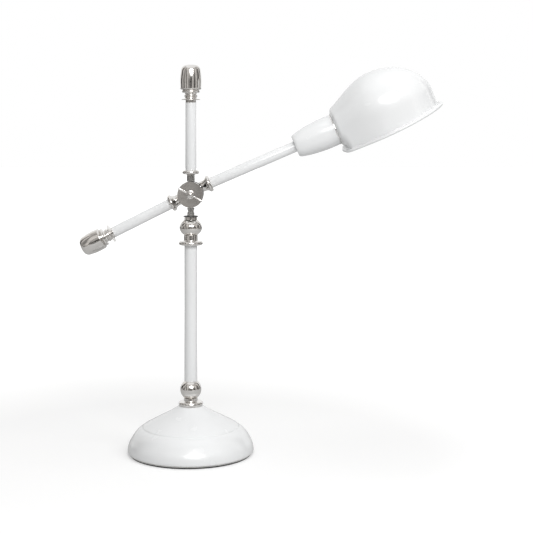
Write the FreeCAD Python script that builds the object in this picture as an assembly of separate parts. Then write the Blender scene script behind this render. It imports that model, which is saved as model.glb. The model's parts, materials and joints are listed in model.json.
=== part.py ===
"""Counterweight balance desk lamp.

A weighted round base carries an upright post. A friction knuckle on the post holds a tilting arm
with a counterweight at one end and a lampholder with a helmet-shaped shade at the other.

Millimetres, +Z up. The origin is the centre of the base's underside, +X points to the shade and
-Y to the front, where the wing nut is. Angles are in degrees.
"""
import FreeCAD
import Part
import math
import os

V = FreeCAD.Vector
ORIGIN = V(0, 0, 0)
X_AXIS = V(1, 0, 0)
Y_AXIS = V(0, 1, 0)
Z_AXIS = V(0, 0, 1)

# ---- clearances -----------------------------------------------------------------------------
FIT = 0.05            # radial, a part screwed or pushed on to another
RUN = 0.05            # radial, a part that turns on another
FACE = 0.05           # between flat faces that turn on each other
EASE = 0.3            # a part that only has to pass inside another
TINY = 0.001          # for telling faces apart

# ---- tubes and threads ------------------------------------------------------------------------
STEM_R = 8.0          # thick lower tube of the post
STEM_WALL = 1.2
TUBE_R = 6.75         # upper post tube and both arm tubes
TUBE_WALL = 1.7
ROD_R = 5.0           # hollow threaded rod and nipples
ROD_BORE_R = 3.5
STUD_R = 3.0          # plain studs inside the end weights
LEAD_R = 1.5          # internal twin lead

# ---- base -------------------------------------------------------------------------------------
BASE_R = 78.5
PAD_T = 2.0
PAD_R = BASE_R - 3.0
PLATE_T = 1.5
PLATE_R = BASE_R - 1.5
SHELL_H = 55.8        # lower edge of the shell to its top
SHELL_T = 1.2
SHELL_LIP = 5.5       # inward lip at the shell's lower edge
BALLAST_R = BASE_R - 8.0
BALLAST_T = 18.0
NUT_POCKET_R = 12.5
NUT_POCKET_H = 12.0
NUT_AF = 14.0
NUT_T = 5.0
WASHER_R = 11.0
WASHER_T = 1.5
SCREW_R = 2.0
SCREW_HEAD_R = 3.9
SCREW_L = 11.0
SCREW_CIRCLE_R = 50.0
SCREW_COUNT = 3
GLAND_Z = 12.0
GLAND_R = 5.0
GLAND_FLANGE_R = 6.5
GLAND_FLANGE_T = 1.5
GLAND_L = 9.0
CORD_HOLE_R = 3.6
BLOCK_SIZE = V(20.0, 12.0, 9.0)
BLOCK_Y = 48.0        # front face of the terminal block
CHANNEL_W = 8.0       # channel for the lead under the ballast
CHANNEL_H = 6.0
LEAD_Z = 6.2
LEAD_BEND_R = 5.0

# ---- post -------------------------------------------------------------------------------------
FOOT_FLANGE_R = 15.2
FOOT_FLANGE_T = 5.3
FOOT_NECK_R = 8.5
FOOT_NECK_H = 4.4
FOOT_BALL_R = 13.15
STEM_L = 170.0        # visible length of the lower tube
STEM_FLANGE_R = 15.15
STEM_FLANGE_T = 4.7
STEM_NECK_R = 8.6
STEM_NECK_H = 7.7
STEM_BALL_R = 14.1
STEM_BALL_SEMI = 11.55
STEM_COLLAR_H = 3.8
SWIVEL_WASHER_R = 9.2
SWIVEL_WASHER_T = 1.0
SWIVEL_RING_R = 10.3
SWIVEL_RING_T = 2.5
SWIVEL_STUD_R = 4.5
SWIVEL_STUD_BORE_R = 2.6
SWIVEL_STUD_ROOT = 10.0
SWIVEL_STUD_L = 10.0  # height in the knuckle's neck
GROOVE_R = 3.7
GROOVE_H = 3.4
GROOVE_Z = 6.0        # above the swivel ring's lower face
STOP_HALF_ANGLE = 12.0
SWIVEL_SCREW_R = 1.5

# ---- knuckle ----------------------------------------------------------------------------------
PIVOT_RISE = 24.7     # swivel ring's top to the tilt axis
DISC_R = 15.4
DISC_T = 13.0
DISC_EDGE = 0.8
TOP_STUB_L = 24.9     # tilt axis to the end of each stub
FRONT_STUB_L = 23.0
REAR_STUB_L = 24.9
NECK_R = 6.9
TOP_NECK_R = 6.5
FLARE = 2.0           # each stub widens this much where it meets its coupling
FLARE_L = 5.5
FRICTION_T = 1.0
FRICTION_R = 15.8
BOLT_R = 4.0
BOLT_HEAD_AF = 13.0
BOLT_HEAD_T = 5.3
REAR_WASHER_R = 9.0
REAR_WASHER_T = 1.0
BUSH_R = 5.5
WIRE_PITCH_R = 10.6   # where the lead crosses the knuckle, from the tilt axis
WIRE_HOLE_R = 2.6
POCKET_IN_R = 8.2
POCKET_OUT_R = 13.2
POCKET_T = 6.0
STUB_HOLE_L = 9.0
COUPLING_R = 10.7
COUPLING_T = 4.8
NIPPLE_IN_TUBE = 12.0
CUP_WASHER_R = 10.8
CUP_WASHER_T = 2.2
NUT_HUB_R = 5.6
NUT_HUB_L = 6.5
WING_SPAN = 17.0      # half of the wing nut's width
WING_T = 1.6
WING_H = 8.5
WING_ANGLE = -29.0    # seen from the front, falling to the right
BOLT_END = 1.6        # rounded bolt end past the wing nut's hub
BOLT_DOME = 2.0
NUT_TRAVEL = 2.5

# ---- arm --------------------------------------------------------------------------------------
ARM_RAISE = 26.6      # arm above the level at rest
FRONT_DROOP = 3.3     # the front half rises this much less steeply
FRONT_LIFT = 1.1      # and its stub stands this much above the arm's line
REAR_TUBE_L = 79.6
FRONT_TUBE_L = 116.0
UPPER_TUBE_L = 84.8

# ---- end weights, from the end of their tube ---------------------------------------------------
BAND_R = 6.6
BAND_L = 3.0
BRIM_R = 11.7
BRIM_L = 4.6
WAIST_R = 7.4
WAIST_L = 12.1
RING_R = 11.2
RING_T = 3.9
CAP_R = 13.4
FINIAL_L = 47.4        # the whole of the top finial with its collar
WEIGHT_L = 45.3        # the whole of the counterweight with its collar
CAP_DOME = 0.7
STUD_IN_CAP = 14.0
PLUG_L = 12.0

# ---- lampholder and cup, from the cup's mouth --------------------------------------------------
CUP_L = 54.9
CUP_WALL = 1.2
CUP_PROFILE = [(53.4, 14.3), (46.4, 16.3), (31.2, 18.6), (14.1, 19.8), (1.4, 19.7)]
NECK_RING_T = 1.4
NECK_RING_R = 20.1
HOLDER_R = 17.2
HOLDER_FRONT = 8.0    # past the cup's mouth
HOLDER_BACK = 33.0
HOLDER_FLOOR_T = 5.0
HOLDER_CAP_BACK = 45.0
HOLDER_CAP_R = 12.5
HOLDER_CAP_T = 1.5
SCREW_SHELL_R = 14.0
SCREW_SHELL_T = 0.7
CONTACT_R = 4.0
CONTACT_T = 1.2
LOCKNUT_T = 3.5
SHADE_NUT_R = 19.0
SHADE_NUT_T = 4.0
BULB_CAP_R = 13.0
BULB_CAP_L = 24.0
BULB_TIP_L = 2.2
BULB_R = 22.5
BULB_CENTRE = 27.5
BULB_GLASS_T = 0.8

# ---- shade, from the cup's mouth ---------------------------------------------------------------
SHADE_WALL = 1.0
SHADE_NECK_R = 19.7
SHOULDER_L = 3.0
SHOULDER_R = 25.9
END_WALL = 4.6        # the skirt's end wall under the neck, where the side line begins
TIP_FLAT = 0.5        # half width of the small flat at the tip
SHADE_PROFILE = [(26.8, END_WALL), (38.2, 26.9), (48.0, 51.7), (49.6, 71.0), (44.0, 96.5),
                 (33.2, 113.8), (18.0, 126.6), (TIP_FLAT, 131.4)]
SIDE_SLOPE = 0.46     # how the side widens where it begins
MOUTH_DROP = 28.4     # arm axis down to the rim's flange, at the neck
MOUTH_TILT = 2.6      # the rim closes on the arm axis towards the tip
RIM_OUT = 4.1         # wall to the centre of the rolled bead
RIM_T = 1.0
RIM_CORNER_R = 11.0
BEAD_R = 1.9
SHADE_ROLL = 5.0      # the shade stands turned this much about the arm at rest

# ---- heights up the post -----------------------------------------------------------------------
PLATE_Z = PAD_T
SHELL_Z = PLATE_Z + PLATE_T
SHELL_TOP_Z = SHELL_Z + SHELL_H
FOOT_NECK_Z = SHELL_TOP_Z + FOOT_FLANGE_T
FOOT_BALL_Z = FOOT_NECK_Z + FOOT_NECK_H
FOOT_BALL_HALF = math.sqrt(FOOT_BALL_R ** 2 - STEM_R ** 2)
STEM_Z = FOOT_BALL_Z + 2 * FOOT_BALL_HALF
STEM_FLANGE_Z = STEM_Z + STEM_L
STEM_NECK_Z = STEM_FLANGE_Z + STEM_FLANGE_T
STEM_BALL_Z = STEM_NECK_Z + STEM_NECK_H
STEM_BALL_HALF = STEM_BALL_SEMI * math.sqrt(1 - (STEM_R / STEM_BALL_R) ** 2)
STEM_COLLAR_Z = STEM_BALL_Z + 2 * STEM_BALL_HALF
SWIVEL_WASHER_Z = STEM_COLLAR_Z + STEM_COLLAR_H
SWIVEL_Z = SWIVEL_WASHER_Z + SWIVEL_WASHER_T + FACE
PIVOT_Z = SWIVEL_Z + SWIVEL_RING_T + PIVOT_RISE
STUB_TOP_Z = PIVOT_Z + TOP_STUB_L
UPPER_TUBE_Z = STUB_TOP_Z + COUPLING_T
FINIAL_Z = UPPER_TUBE_Z + UPPER_TUBE_L

# ---- places across the knuckle, front to back ---------------------------------------------------
POST_FRONT_Y = -DISC_T / 2
POST_BACK_Y = DISC_T / 2
ARM_FRONT_Y = POST_BACK_Y + FRICTION_T + FACE
ARM_Y = ARM_FRONT_Y + DISC_T / 2
ARM_BACK_Y = ARM_FRONT_Y + DISC_T
BOLT_HEAD_Y = ARM_BACK_Y + FACE + REAR_WASHER_T
NUT_Y = POST_FRONT_Y - CUP_WASHER_T

# ---- frames of the arm --------------------------------------------------------------------------
PIVOT = V(0, ARM_Y, PIVOT_Z)
FRONT_ANGLE = ARM_RAISE - FRONT_DROOP
ARM_ALONG = V(math.cos(math.radians(ARM_RAISE)), 0, math.sin(math.radians(ARM_RAISE)))
ARM_UP = V(-ARM_ALONG.z, 0, ARM_ALONG.x)
FRONT_ORIGIN = PIVOT + ARM_ALONG * FRONT_STUB_L + ARM_UP * FRONT_LIFT
CUP_BACK = COUPLING_T + FRONT_TUBE_L
CUP_MOUTH = CUP_BACK + CUP_L
REAR_TUBE_END = REAR_STUB_L + COUPLING_T + REAR_TUBE_L


def turned(outline):
    """A solid of revolution about Z; the outline is (radius, z) points, and (mid, end) arcs."""
    edges = []
    start = outline[0]
    for step in outline[1:] + [outline[0]]:
        if isinstance(step[0], tuple):
            mid, end = step
            edges.append(Part.Arc(point_rz(start), point_rz(mid), point_rz(end)).toShape())
        else:
            end = step
            edges.append(Part.LineSegment(point_rz(start), point_rz(end)).toShape())
        start = end
    face = Part.Face(Part.Wire(edges))
    return face.revolve(ORIGIN, Z_AXIS, 360)


def point_rz(pair):
    """A (radius, z) pair as a point in the XZ plane."""
    return V(pair[0], 0, pair[1])


def dome_arc(radius, rise, top):
    """The outline step for a spherical end: from (radius, top - rise) to the axis at top."""
    sphere_r = (radius ** 2 + rise ** 2) / (2 * rise)
    mid_r = radius / 2
    mid_z = top - sphere_r + math.sqrt(sphere_r ** 2 - mid_r ** 2)
    return ((mid_r, mid_z), (0, top))


def tube(outer_r, inner_r, z_low, z_high):
    """A hollow cylinder about Z."""
    return turned([(inner_r, z_low), (outer_r, z_low), (outer_r, z_high), (inner_r, z_high)])


def rod(radius, z_low, z_high):
    """A plain cylinder about Z."""
    return Part.makeCylinder(radius, z_high - z_low, V(0, 0, z_low))


def hex_ring(across_flats, inner_r, z_low, z_high):
    """A hexagon nut about Z."""
    corner_r = across_flats / 2 / math.cos(math.radians(30))
    corners = [V(corner_r * math.cos(math.radians(60 * i)), corner_r * math.sin(math.radians(60 * i)), z_low)
               for i in range(7)]
    body = Part.Face(Part.makePolygon(corners)).extrude(V(0, 0, z_high - z_low))
    if inner_r > 0:
        body = body.cut(rod(inner_r, z_low - 1, z_high + 1))
    return body


def moved(shape, placement):
    """A copy of the shape taken through a placement."""
    return shape.transformed(placement.toMatrix(), True)


def at_front(shape):
    """From the front arm's own frame (Z along the arm, -X up) to the lamp's frame."""
    return moved(shape, FreeCAD.Placement(FRONT_ORIGIN, FreeCAD.Rotation(Y_AXIS, 90 - FRONT_ANGLE)))


def at_rear(shape):
    """From the rear arm's own frame (Z from the tilt axis to the counterweight) to the lamp's frame."""
    return moved(shape, FreeCAD.Placement(PIVOT, FreeCAD.Rotation(Y_AXIS, -(90 + ARM_RAISE))))


def across(shape, place):
    """From a frame with Z forwards along the tilt axis to the lamp's frame; Z = 0 lands at place."""
    return moved(shape, FreeCAD.Placement(place, FreeCAD.Rotation(X_AXIS, 90)))


def at_mouth(shape):
    """From the cup mouth's frame to the lamp's frame."""
    return at_front(shape.translated(V(0, 0, CUP_MOUTH)))


# ---- base ---------------------------------------------------------------------------------------
def shell_outline(inset):
    """The base's outer line from its lower edge to its top, moved inwards by inset."""
    top = SHELL_TOP_Z - inset
    low = SHELL_Z
    edge = BASE_R - inset
    slant = 0.7 * inset
    return [(edge, low),
            (edge, low + 2.5),
            ((edge - 1.3, low + 9.0), (BASE_R - 4.8 - slant, 19.3 - slant)),
            ((BASE_R - 8.9 - slant, 25.6 - slant), (BASE_R - 15.3 - slant, 31.6 - slant)),
            (BASE_R - 18.1 - slant, 32.9 - slant),
            (BASE_R - 19.2 - slant, 34.5 - slant),
            ((46.9 - slant / 2, 41.3 - inset), (30.8 - slant, 49.6 - slant)),
            ((22.3 - slant, 54.3 - slant), (FOOT_FLANGE_R, top))]


def base_shell():
    outer = turned([(ROD_R + EASE, SHELL_Z)] + shell_outline(0) + [(ROD_R + EASE, SHELL_TOP_Z)])
    inner = turned([(0, SHELL_Z)] + shell_outline(SHELL_T) + [(0, SHELL_TOP_Z - SHELL_T)])
    lip = tube(BASE_R - SHELL_T / 2, BASE_R - SHELL_LIP, SHELL_Z, SHELL_Z + SHELL_T)
    shell = outer.cut(inner).fuse(lip)
    return shell.cut(gland_hole(GLAND_R + FIT))


def gland_hole(radius):
    """A cylinder along Y through the rear wall of the base."""
    return Part.makeCylinder(radius, BASE_R, V(0, BASE_R / 2, GLAND_Z), Y_AXIS)


def foot_pad():
    return rod(PAD_R, 0, PAD_T)


def base_plate():
    plate = rod(PLATE_R, PLATE_Z, PLATE_Z + PLATE_T)
    for cutter in screw_places(tapered_head(FIT)):
        plate = plate.cut(cutter)
    return plate


def tapered_head(clearance):
    """A countersunk screw head and shank, pointing up from the plate's underside."""
    head = Part.makeCone(SCREW_HEAD_R + clearance, SCREW_R + clearance, PLATE_T, V(0, 0, PLATE_Z))
    return head.fuse(rod(SCREW_R + clearance, PLATE_Z, PLATE_Z + SCREW_L + clearance))


def screw_places(shape):
    """Copies of a shape round the base's screw circle."""
    copies = []
    for i in range(SCREW_COUNT):
        copy = shape.translated(V(0, -SCREW_CIRCLE_R, 0))
        copy.rotate(ORIGIN, Z_AXIS, i * 360 / SCREW_COUNT)
        copies.append(copy)
    return copies


def plate_screws():
    return Part.makeCompound(screw_places(tapered_head(0)))


def ballast():
    body = rod(BALLAST_R, SHELL_Z, SHELL_Z + BALLAST_T)
    body = body.cut(rod(ROD_R + EASE, SHELL_Z, SHELL_Z + BALLAST_T))
    body = body.cut(rod(NUT_POCKET_R, SHELL_Z, SHELL_Z + NUT_POCKET_H))
    channel = Part.makeBox(CHANNEL_W, BALLAST_R, CHANNEL_H, V(-CHANNEL_W / 2, 0, SHELL_Z))
    pocket_x = BLOCK_SIZE.x / 2 + 2 * EASE
    pocket = Part.makeBox(2 * pocket_x, BALLAST_R, BALLAST_T, V(-pocket_x, BLOCK_Y - 2 * EASE, SHELL_Z))
    body = body.cut(channel).cut(pocket)
    for cutter in screw_places(tapered_head(FIT)):
        body = body.cut(cutter)
    return body


def terminal_block():
    corner = V(-BLOCK_SIZE.x / 2, BLOCK_Y, SHELL_Z)
    block = Part.makeBox(BLOCK_SIZE.x, BLOCK_SIZE.y, BLOCK_SIZE.z, corner)
    for side in (-1, 1):
        screw_hole = rod(SCREW_R, SHELL_Z + BLOCK_SIZE.z / 2, SHELL_Z + BLOCK_SIZE.z)
        block = block.cut(screw_hole.translated(V(side * BLOCK_SIZE.x / 4, BLOCK_Y + BLOCK_SIZE.y / 2, 0)))
    return block


def cord_gland():
    """A flanged bush in the base's rear wall, bored for the supply cord."""
    outside = BASE_R + GLAND_FLANGE_T
    flange = Part.makeCylinder(GLAND_FLANGE_R, GLAND_FLANGE_T, V(0, BASE_R, GLAND_Z), Y_AXIS)
    sleeve = Part.makeCylinder(GLAND_R, GLAND_L, V(0, outside - GLAND_L, GLAND_Z), Y_AXIS)
    return flange.fuse(sleeve).cut(gland_hole(CORD_HOLE_R))


def stem_rod():
    low = SHELL_Z + LEAD_BEND_R
    return tube(ROD_R, ROD_BORE_R, low, STEM_COLLAR_Z - SWIVEL_STUD_ROOT)


def rod_washer():
    top = SHELL_Z + NUT_POCKET_H
    return tube(WASHER_R, ROD_R + FIT, top - WASHER_T, top)


def rod_nut():
    top = SHELL_Z + NUT_POCKET_H - WASHER_T
    return hex_ring(NUT_AF, ROD_R + FIT, top - NUT_T, top)


def stem_lead():
    """The twin lead from the terminal block to the top of the swivel stud."""
    start = V(0, BLOCK_Y, LEAD_Z)
    bend_in = V(0, LEAD_BEND_R, LEAD_Z)
    half_way = LEAD_BEND_R * (1 - math.cos(math.pi / 4))
    bend_mid = V(0, half_way, LEAD_Z + half_way)
    bend_out = V(0, 0, LEAD_Z + LEAD_BEND_R)
    end = V(0, 0, SWIVEL_Z + SWIVEL_STUD_L)
    path = Part.Wire([Part.LineSegment(start, bend_in).toShape(),
                      Part.Arc(bend_in, bend_mid, bend_out).toShape(),
                      Part.LineSegment(bend_out, end).toShape()])
    section = Part.Wire(Part.makeCircle(LEAD_R, start, Y_AXIS))
    return path.makePipeShell([section], True, False)


# ---- post ---------------------------------------------------------------------------------------
def foot_collar():
    hole = ROD_R + FIT
    edge = 1.6
    return turned([(hole, SHELL_TOP_Z),
                   (FOOT_FLANGE_R - edge, SHELL_TOP_Z),
                   ((FOOT_FLANGE_R, SHELL_TOP_Z + FOOT_FLANGE_T / 2), (FOOT_FLANGE_R - edge, FOOT_NECK_Z)),
                   (FOOT_NECK_R + edge, FOOT_NECK_Z),
                   ((FOOT_NECK_R + edge / 3, FOOT_NECK_Z + edge / 3), (FOOT_NECK_R, FOOT_NECK_Z + edge)),
                   (FOOT_NECK_R, FOOT_BALL_Z),
                   (hole, FOOT_BALL_Z)])


def foot_ball():
    hole = ROD_R + FIT
    middle = FOOT_BALL_Z + FOOT_BALL_HALF
    return turned([(hole, FOOT_BALL_Z),
                   (STEM_R, FOOT_BALL_Z),
                   ((FOOT_BALL_R, middle), (STEM_R, STEM_Z)),
                   (hole, STEM_Z)])


def lower_tube():
    return tube(STEM_R, STEM_R - STEM_WALL, STEM_Z, STEM_FLANGE_Z)


def stem_flange():
    hole = ROD_R + FIT
    edge = 1.4
    return turned([(hole, STEM_FLANGE_Z),
                   (STEM_FLANGE_R - edge, STEM_FLANGE_Z),
                   ((STEM_FLANGE_R, STEM_FLANGE_Z + STEM_FLANGE_T / 2), (STEM_FLANGE_R - edge, STEM_NECK_Z)),
                   (STEM_NECK_R + edge, STEM_NECK_Z),
                   ((STEM_NECK_R + edge / 3, STEM_NECK_Z + edge / 3), (STEM_NECK_R, STEM_NECK_Z + edge)),
                   (STEM_NECK_R, STEM_BALL_Z),
                   (hole, STEM_BALL_Z)])


def stem_ball():
    """The flattened ball at the top of the fixed stem, with the collar that the swivel turns on."""
    rod_top = STEM_COLLAR_Z - SWIVEL_STUD_ROOT + FIT
    seats = STEM_COLLAR_Z + STEM_BALL_Z
    ball = Part.makeSphere(STEM_BALL_R)
    squash = FreeCAD.Matrix()
    squash.A33 = STEM_BALL_SEMI / STEM_BALL_R
    ball = ball.transformGeometry(squash).translated(V(0, 0, seats / 2))
    ball = ball.common(rod(2 * STEM_BALL_R, STEM_BALL_Z, STEM_COLLAR_Z))
    ball = ball.fuse(rod(STEM_R, STEM_COLLAR_Z, SWIVEL_WASHER_Z))
    ball = ball.cut(rod(ROD_R + FIT, STEM_BALL_Z, rod_top))
    return ball.cut(rod(SWIVEL_STUD_R + FIT, rod_top, SWIVEL_WASHER_Z))


def swivel_washer():
    return tube(SWIVEL_WASHER_R, SWIVEL_STUD_R + FIT, SWIVEL_WASHER_Z, SWIVEL_WASHER_Z + SWIVEL_WASHER_T)


def swivel_stud():
    """The hollow stud that the post's head turns on; the web left in its groove is the stop."""
    root = STEM_COLLAR_Z - SWIVEL_STUD_ROOT + FIT
    stud = tube(SWIVEL_STUD_R, SWIVEL_STUD_BORE_R, root, SWIVEL_Z + SWIVEL_STUD_L)
    low = SWIVEL_Z + GROOVE_Z - GROOVE_H / 2
    blank = Part.makeCylinder(SWIVEL_STUD_R + 1, GROOVE_H, V(0, 0, low), Z_AXIS, 360 - 2 * STOP_HALF_ANGLE)
    groove = blank.cut(rod(GROOVE_R, low - 1, low + GROOVE_H + 1))
    groove.rotate(ORIGIN, Z_AXIS, -90 + STOP_HALF_ANGLE)
    return stud.cut(groove)


def swivel_screw():
    """The grub screw at the back of the neck, whose tip runs in the stud's groove."""
    inner = GROOVE_R + EASE
    return Part.makeCylinder(SWIVEL_SCREW_R, NECK_R - inner, V(0, inner, SWIVEL_Z + GROOVE_Z), Y_AXIS)


def knuckle_disc():
    """One half of the knuckle, about Z with its middle at Z = 0."""
    half = DISC_T / 2
    edge = DISC_EDGE
    return turned([(0, -half),
                   (DISC_R - edge, -half),
                   (DISC_R, -half + edge),
                   (DISC_R, half - edge),
                   (DISC_R - edge, half),
                   (0, half)])


def stub(radius, z_low, z_high):
    """A round stub about Z that flares towards its coupling at z_high."""
    flare_z = z_high - FLARE_L
    return turned([(0, z_low),
                   (radius, z_low),
                   (radius, flare_z),
                   ((radius + FLARE / 5, z_high - FLARE_L / 2), (radius + FLARE, z_high)),
                   (0, z_high)])


def spot_faced(body, place):
    """The body without what stands proud of the knuckle half's two faces round the tilt axis."""
    clear_r = FRICTION_R + EASE
    for low in (-DISC_T, DISC_T / 2):
        body = body.cut(across(rod(clear_r, low, low + DISC_T / 2), place))
    return body


def post_knuckle():
    """The fixed half of the knuckle, with the swivel neck below and the upper stub above."""
    ring_top = SWIVEL_Z + SWIVEL_RING_T
    edge = 0.6
    neck = turned([(0, SWIVEL_Z),
                   (SWIVEL_RING_R - edge, SWIVEL_Z),
                   ((SWIVEL_RING_R, SWIVEL_Z + SWIVEL_RING_T / 2), (SWIVEL_RING_R - edge, ring_top)),
                   (NECK_R + FLARE, ring_top),
                   ((NECK_R + FLARE / 5, ring_top + FLARE_L / 2), (NECK_R, ring_top + FLARE_L)),
                   (NECK_R, PIVOT_Z),
                   (0, PIVOT_Z)])
    centre = V(0, 0, PIVOT_Z)
    body = neck.fuse(stub(TOP_NECK_R, PIVOT_Z, STUB_TOP_Z)).fuse(across(knuckle_disc(), centre))
    body = spot_faced(body, centre)
    body = body.cut(rod(SWIVEL_STUD_R + RUN, SWIVEL_Z, SWIVEL_Z + SWIVEL_STUD_L + EASE))
    body = body.cut(rod(WIRE_HOLE_R, SWIVEL_Z, PIVOT_Z - WIRE_PITCH_R))
    body = body.cut(Part.makeCylinder(WIRE_HOLE_R, DISC_T, V(0, 0, PIVOT_Z - WIRE_PITCH_R), Y_AXIS))
    body = body.cut(rod(ROD_R + FIT, STUB_TOP_Z - STUB_HOLE_L, STUB_TOP_Z))
    body = body.cut(bolt_hole(BOLT_R + FIT))
    grub_y = V(0, 0, SWIVEL_Z + GROOVE_Z)
    return body.cut(Part.makeCylinder(SWIVEL_SCREW_R + FIT, SWIVEL_RING_R, grub_y, Y_AXIS))


def bolt_hole(radius):
    """A cylinder along the whole tilt axis."""
    return Part.makeCylinder(radius, 6 * DISC_T, V(0, -3 * DISC_T, PIVOT_Z), Y_AXIS)


def friction_washer():
    washer = across(tube(FRICTION_R, BOLT_R + FIT, -FRICTION_T, 0), V(0, POST_BACK_Y, PIVOT_Z))
    wire = Part.makeCylinder(WIRE_HOLE_R, 2 * FRICTION_T, V(0, POST_BACK_Y, PIVOT_Z - WIRE_PITCH_R), Y_AXIS)
    return washer.cut(wire)


def pivot_bolt():
    """The bolt on the tilt axis: head at the back, rounded end in front of the wing nut."""
    shank_l = BOLT_HEAD_Y - NUT_Y + NUT_HUB_L + BOLT_END
    shank = turned([(0, 0),
                    (BOLT_R, 0),
                    (BOLT_R, shank_l - BOLT_DOME),
                    dome_arc(BOLT_R, BOLT_DOME, shank_l)])
    head = hex_ring(BOLT_HEAD_AF, 0, -BOLT_HEAD_T, 0)
    return across(shank.fuse(head), V(0, BOLT_HEAD_Y, PIVOT_Z))


def rear_washer():
    return across(tube(REAR_WASHER_R, BOLT_R + FIT, 0, REAR_WASHER_T), V(0, BOLT_HEAD_Y, PIVOT_Z))


def cup_washer():
    """The dished washer under the wing nut."""
    washer = turned([(BOLT_R + RUN, 0),
                     (CUP_WASHER_R, 0),
                     (CUP_WASHER_R, CUP_WASHER_T * 0.45),
                     (NUT_HUB_R + 1.0, CUP_WASHER_T),
                     (BOLT_R + RUN, CUP_WASHER_T)])
    return across(washer, V(0, POST_FRONT_Y, PIVOT_Z))


def wing_nut():
    hub = turned([(BOLT_R + RUN, 0),
                  (NUT_HUB_R, 0),
                  (NUT_HUB_R - 0.8, NUT_HUB_L),
                  (BOLT_R + RUN, NUT_HUB_L)])
    wing = Part.makePolygon([V(0, 0, 1.0),
                             V(NUT_HUB_R, 0, 1.0),
                             V(WING_SPAN - 4.0, 0, 3.0),
                             V(WING_SPAN, 0, 5.0),
                             V(WING_SPAN - 0.6, 0, WING_H),
                             V(WING_SPAN - 5.0, 0, WING_H),
                             V(NUT_HUB_R, 0, NUT_HUB_L - 1.0),
                             V(0, 0, NUT_HUB_L - 1.0),
                             V(0, 0, 1.0)])
    blade = Part.Face(wing).extrude(V(0, WING_T, 0)).translated(V(0, -WING_T / 2, 0))
    other = blade.copy()
    other.rotate(ORIGIN, Z_AXIS, 180)
    nut = hub.fuse(blade).fuse(other).cut(rod(BOLT_R + RUN, -1, NUT_HUB_L + WING_H))
    nut.rotate(ORIGIN, Z_AXIS, WING_ANGLE)
    return across(nut, V(0, NUT_Y, PIVOT_Z))


def coupling(z_low):
    """A rounded ring between a stub and its tube."""
    z_high = z_low + COUPLING_T
    edge = 1.5
    return turned([(ROD_R + FIT, z_low),
                   (COUPLING_R - edge, z_low),
                   ((COUPLING_R, z_low + COUPLING_T / 2), (COUPLING_R - edge, z_high)),
                   (ROD_R + FIT, z_high)])


def upper_tube():
    return tube(TUBE_R, TUBE_R - TUBE_WALL, UPPER_TUBE_Z, FINIAL_Z)


def nipple(bore_r, stub_end):
    """The threaded pin that joins a stub, a coupling and a tube; its stub hole ends at stub_end."""
    low = stub_end - STUB_HOLE_L + EASE
    high = stub_end + COUPLING_T + NIPPLE_IN_TUBE
    if bore_r > 0:
        return tube(ROD_R, bore_r, low, high)
    return rod(ROD_R, low, high)


# ---- end weights --------------------------------------------------------------------------------
def end_collar(z):
    """The turned collar on a tube's end: band, thin brim and waist."""
    top = z + WAIST_L
    bead = top - 3.8
    return turned([(STUD_R + FIT, z),
                   (BAND_R, z),
                   (BAND_R, z + BAND_L),
                   (BRIM_R - 0.3, z + BAND_L + 0.3),
                   ((BRIM_R, z + BAND_L + 0.8), (BRIM_R - 0.5, z + BAND_L + 1.2)),
                   (WAIST_R + 0.8, z + BRIM_L),
                   ((WAIST_R, (z + BRIM_L + bead) / 2 - 0.2), (WAIST_R + 0.5, bead - 0.8)),
                   ((WAIST_R + 1.0, bead), (WAIST_R + 0.5, bead + 0.8)),
                   ((WAIST_R - 0.2, top - 1.4), (WAIST_R + 0.4, top)),
                   (STUD_R + FIT, top)])


def end_weight(z, length):
    """The rounded weight on a tube's end, bored for its stud."""
    ring_low = z + WAIST_L
    cap_low = ring_low + RING_T
    top = z + length
    body = turned([(0, ring_low),
                   (RING_R - 1.6, ring_low),
                   ((RING_R, (ring_low + cap_low) / 2), (RING_R - 1.0, cap_low - 0.4)),
                   (CAP_R - 2.0, cap_low),
                   ((CAP_R - 0.6, cap_low + 0.9), (CAP_R - 0.2, cap_low + 2.6)),
                   ((CAP_R, (cap_low + top) / 2 - 1.0), (CAP_R - 1.2, top - 6.5)),
                   ((CAP_R - 3.2, top - 2.6), (CAP_R - 6.4, top - CAP_DOME)),
                   dome_arc(CAP_R - 6.4, CAP_DOME, top)])
    return body.cut(rod(STUD_R + FIT, ring_low - 1, ring_low + STUD_IN_CAP))


def end_stud(z):
    """The stud that holds a weight: it runs from the tube's plug into the weight."""
    return rod(STUD_R, z - PLUG_L, z + WAIST_L + STUD_IN_CAP - EASE)


def end_plug(z):
    """The tapped plug fixed in a tube's end."""
    return tube(TUBE_R - TUBE_WALL - FIT, STUD_R + FIT, z - PLUG_L, z)


# ---- arm ----------------------------------------------------------------------------------------
def arm_knuckle():
    """The tilting half of the knuckle, with a stub for each arm tube."""
    body = across(knuckle_disc(), PIVOT)
    body = body.fuse(at_front(stub(NECK_R, -FRONT_STUB_L, 0)))
    body = body.fuse(at_rear(stub(NECK_R, 0, REAR_STUB_L)))
    body = spot_faced(body, PIVOT)
    ring = tube(POCKET_OUT_R, POCKET_IN_R, DISC_T / 2 - POCKET_T, DISC_T / 2)
    body = body.cut(across(ring, PIVOT))
    body = body.cut(at_front(rod(ROD_R + FIT, -STUB_HOLE_L, 0)))
    body = body.cut(at_front(rod(WIRE_HOLE_R, POCKET_IN_R + 1 - FRONT_STUB_L, 0)))
    body = body.cut(at_rear(rod(ROD_R + FIT, REAR_STUB_L - STUB_HOLE_L, REAR_STUB_L)))
    return body.cut(bolt_hole(BUSH_R + FIT))


def pivot_bush():
    return across(tube(BUSH_R, BOLT_R + RUN, -DISC_T / 2, DISC_T / 2), PIVOT)


def front_tube():
    return at_front(tube(TUBE_R, TUBE_R - TUBE_WALL, COUPLING_T, CUP_BACK))


def rear_tube():
    return at_rear(tube(TUBE_R, TUBE_R - TUBE_WALL, REAR_STUB_L + COUPLING_T, REAR_TUBE_END))


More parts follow.
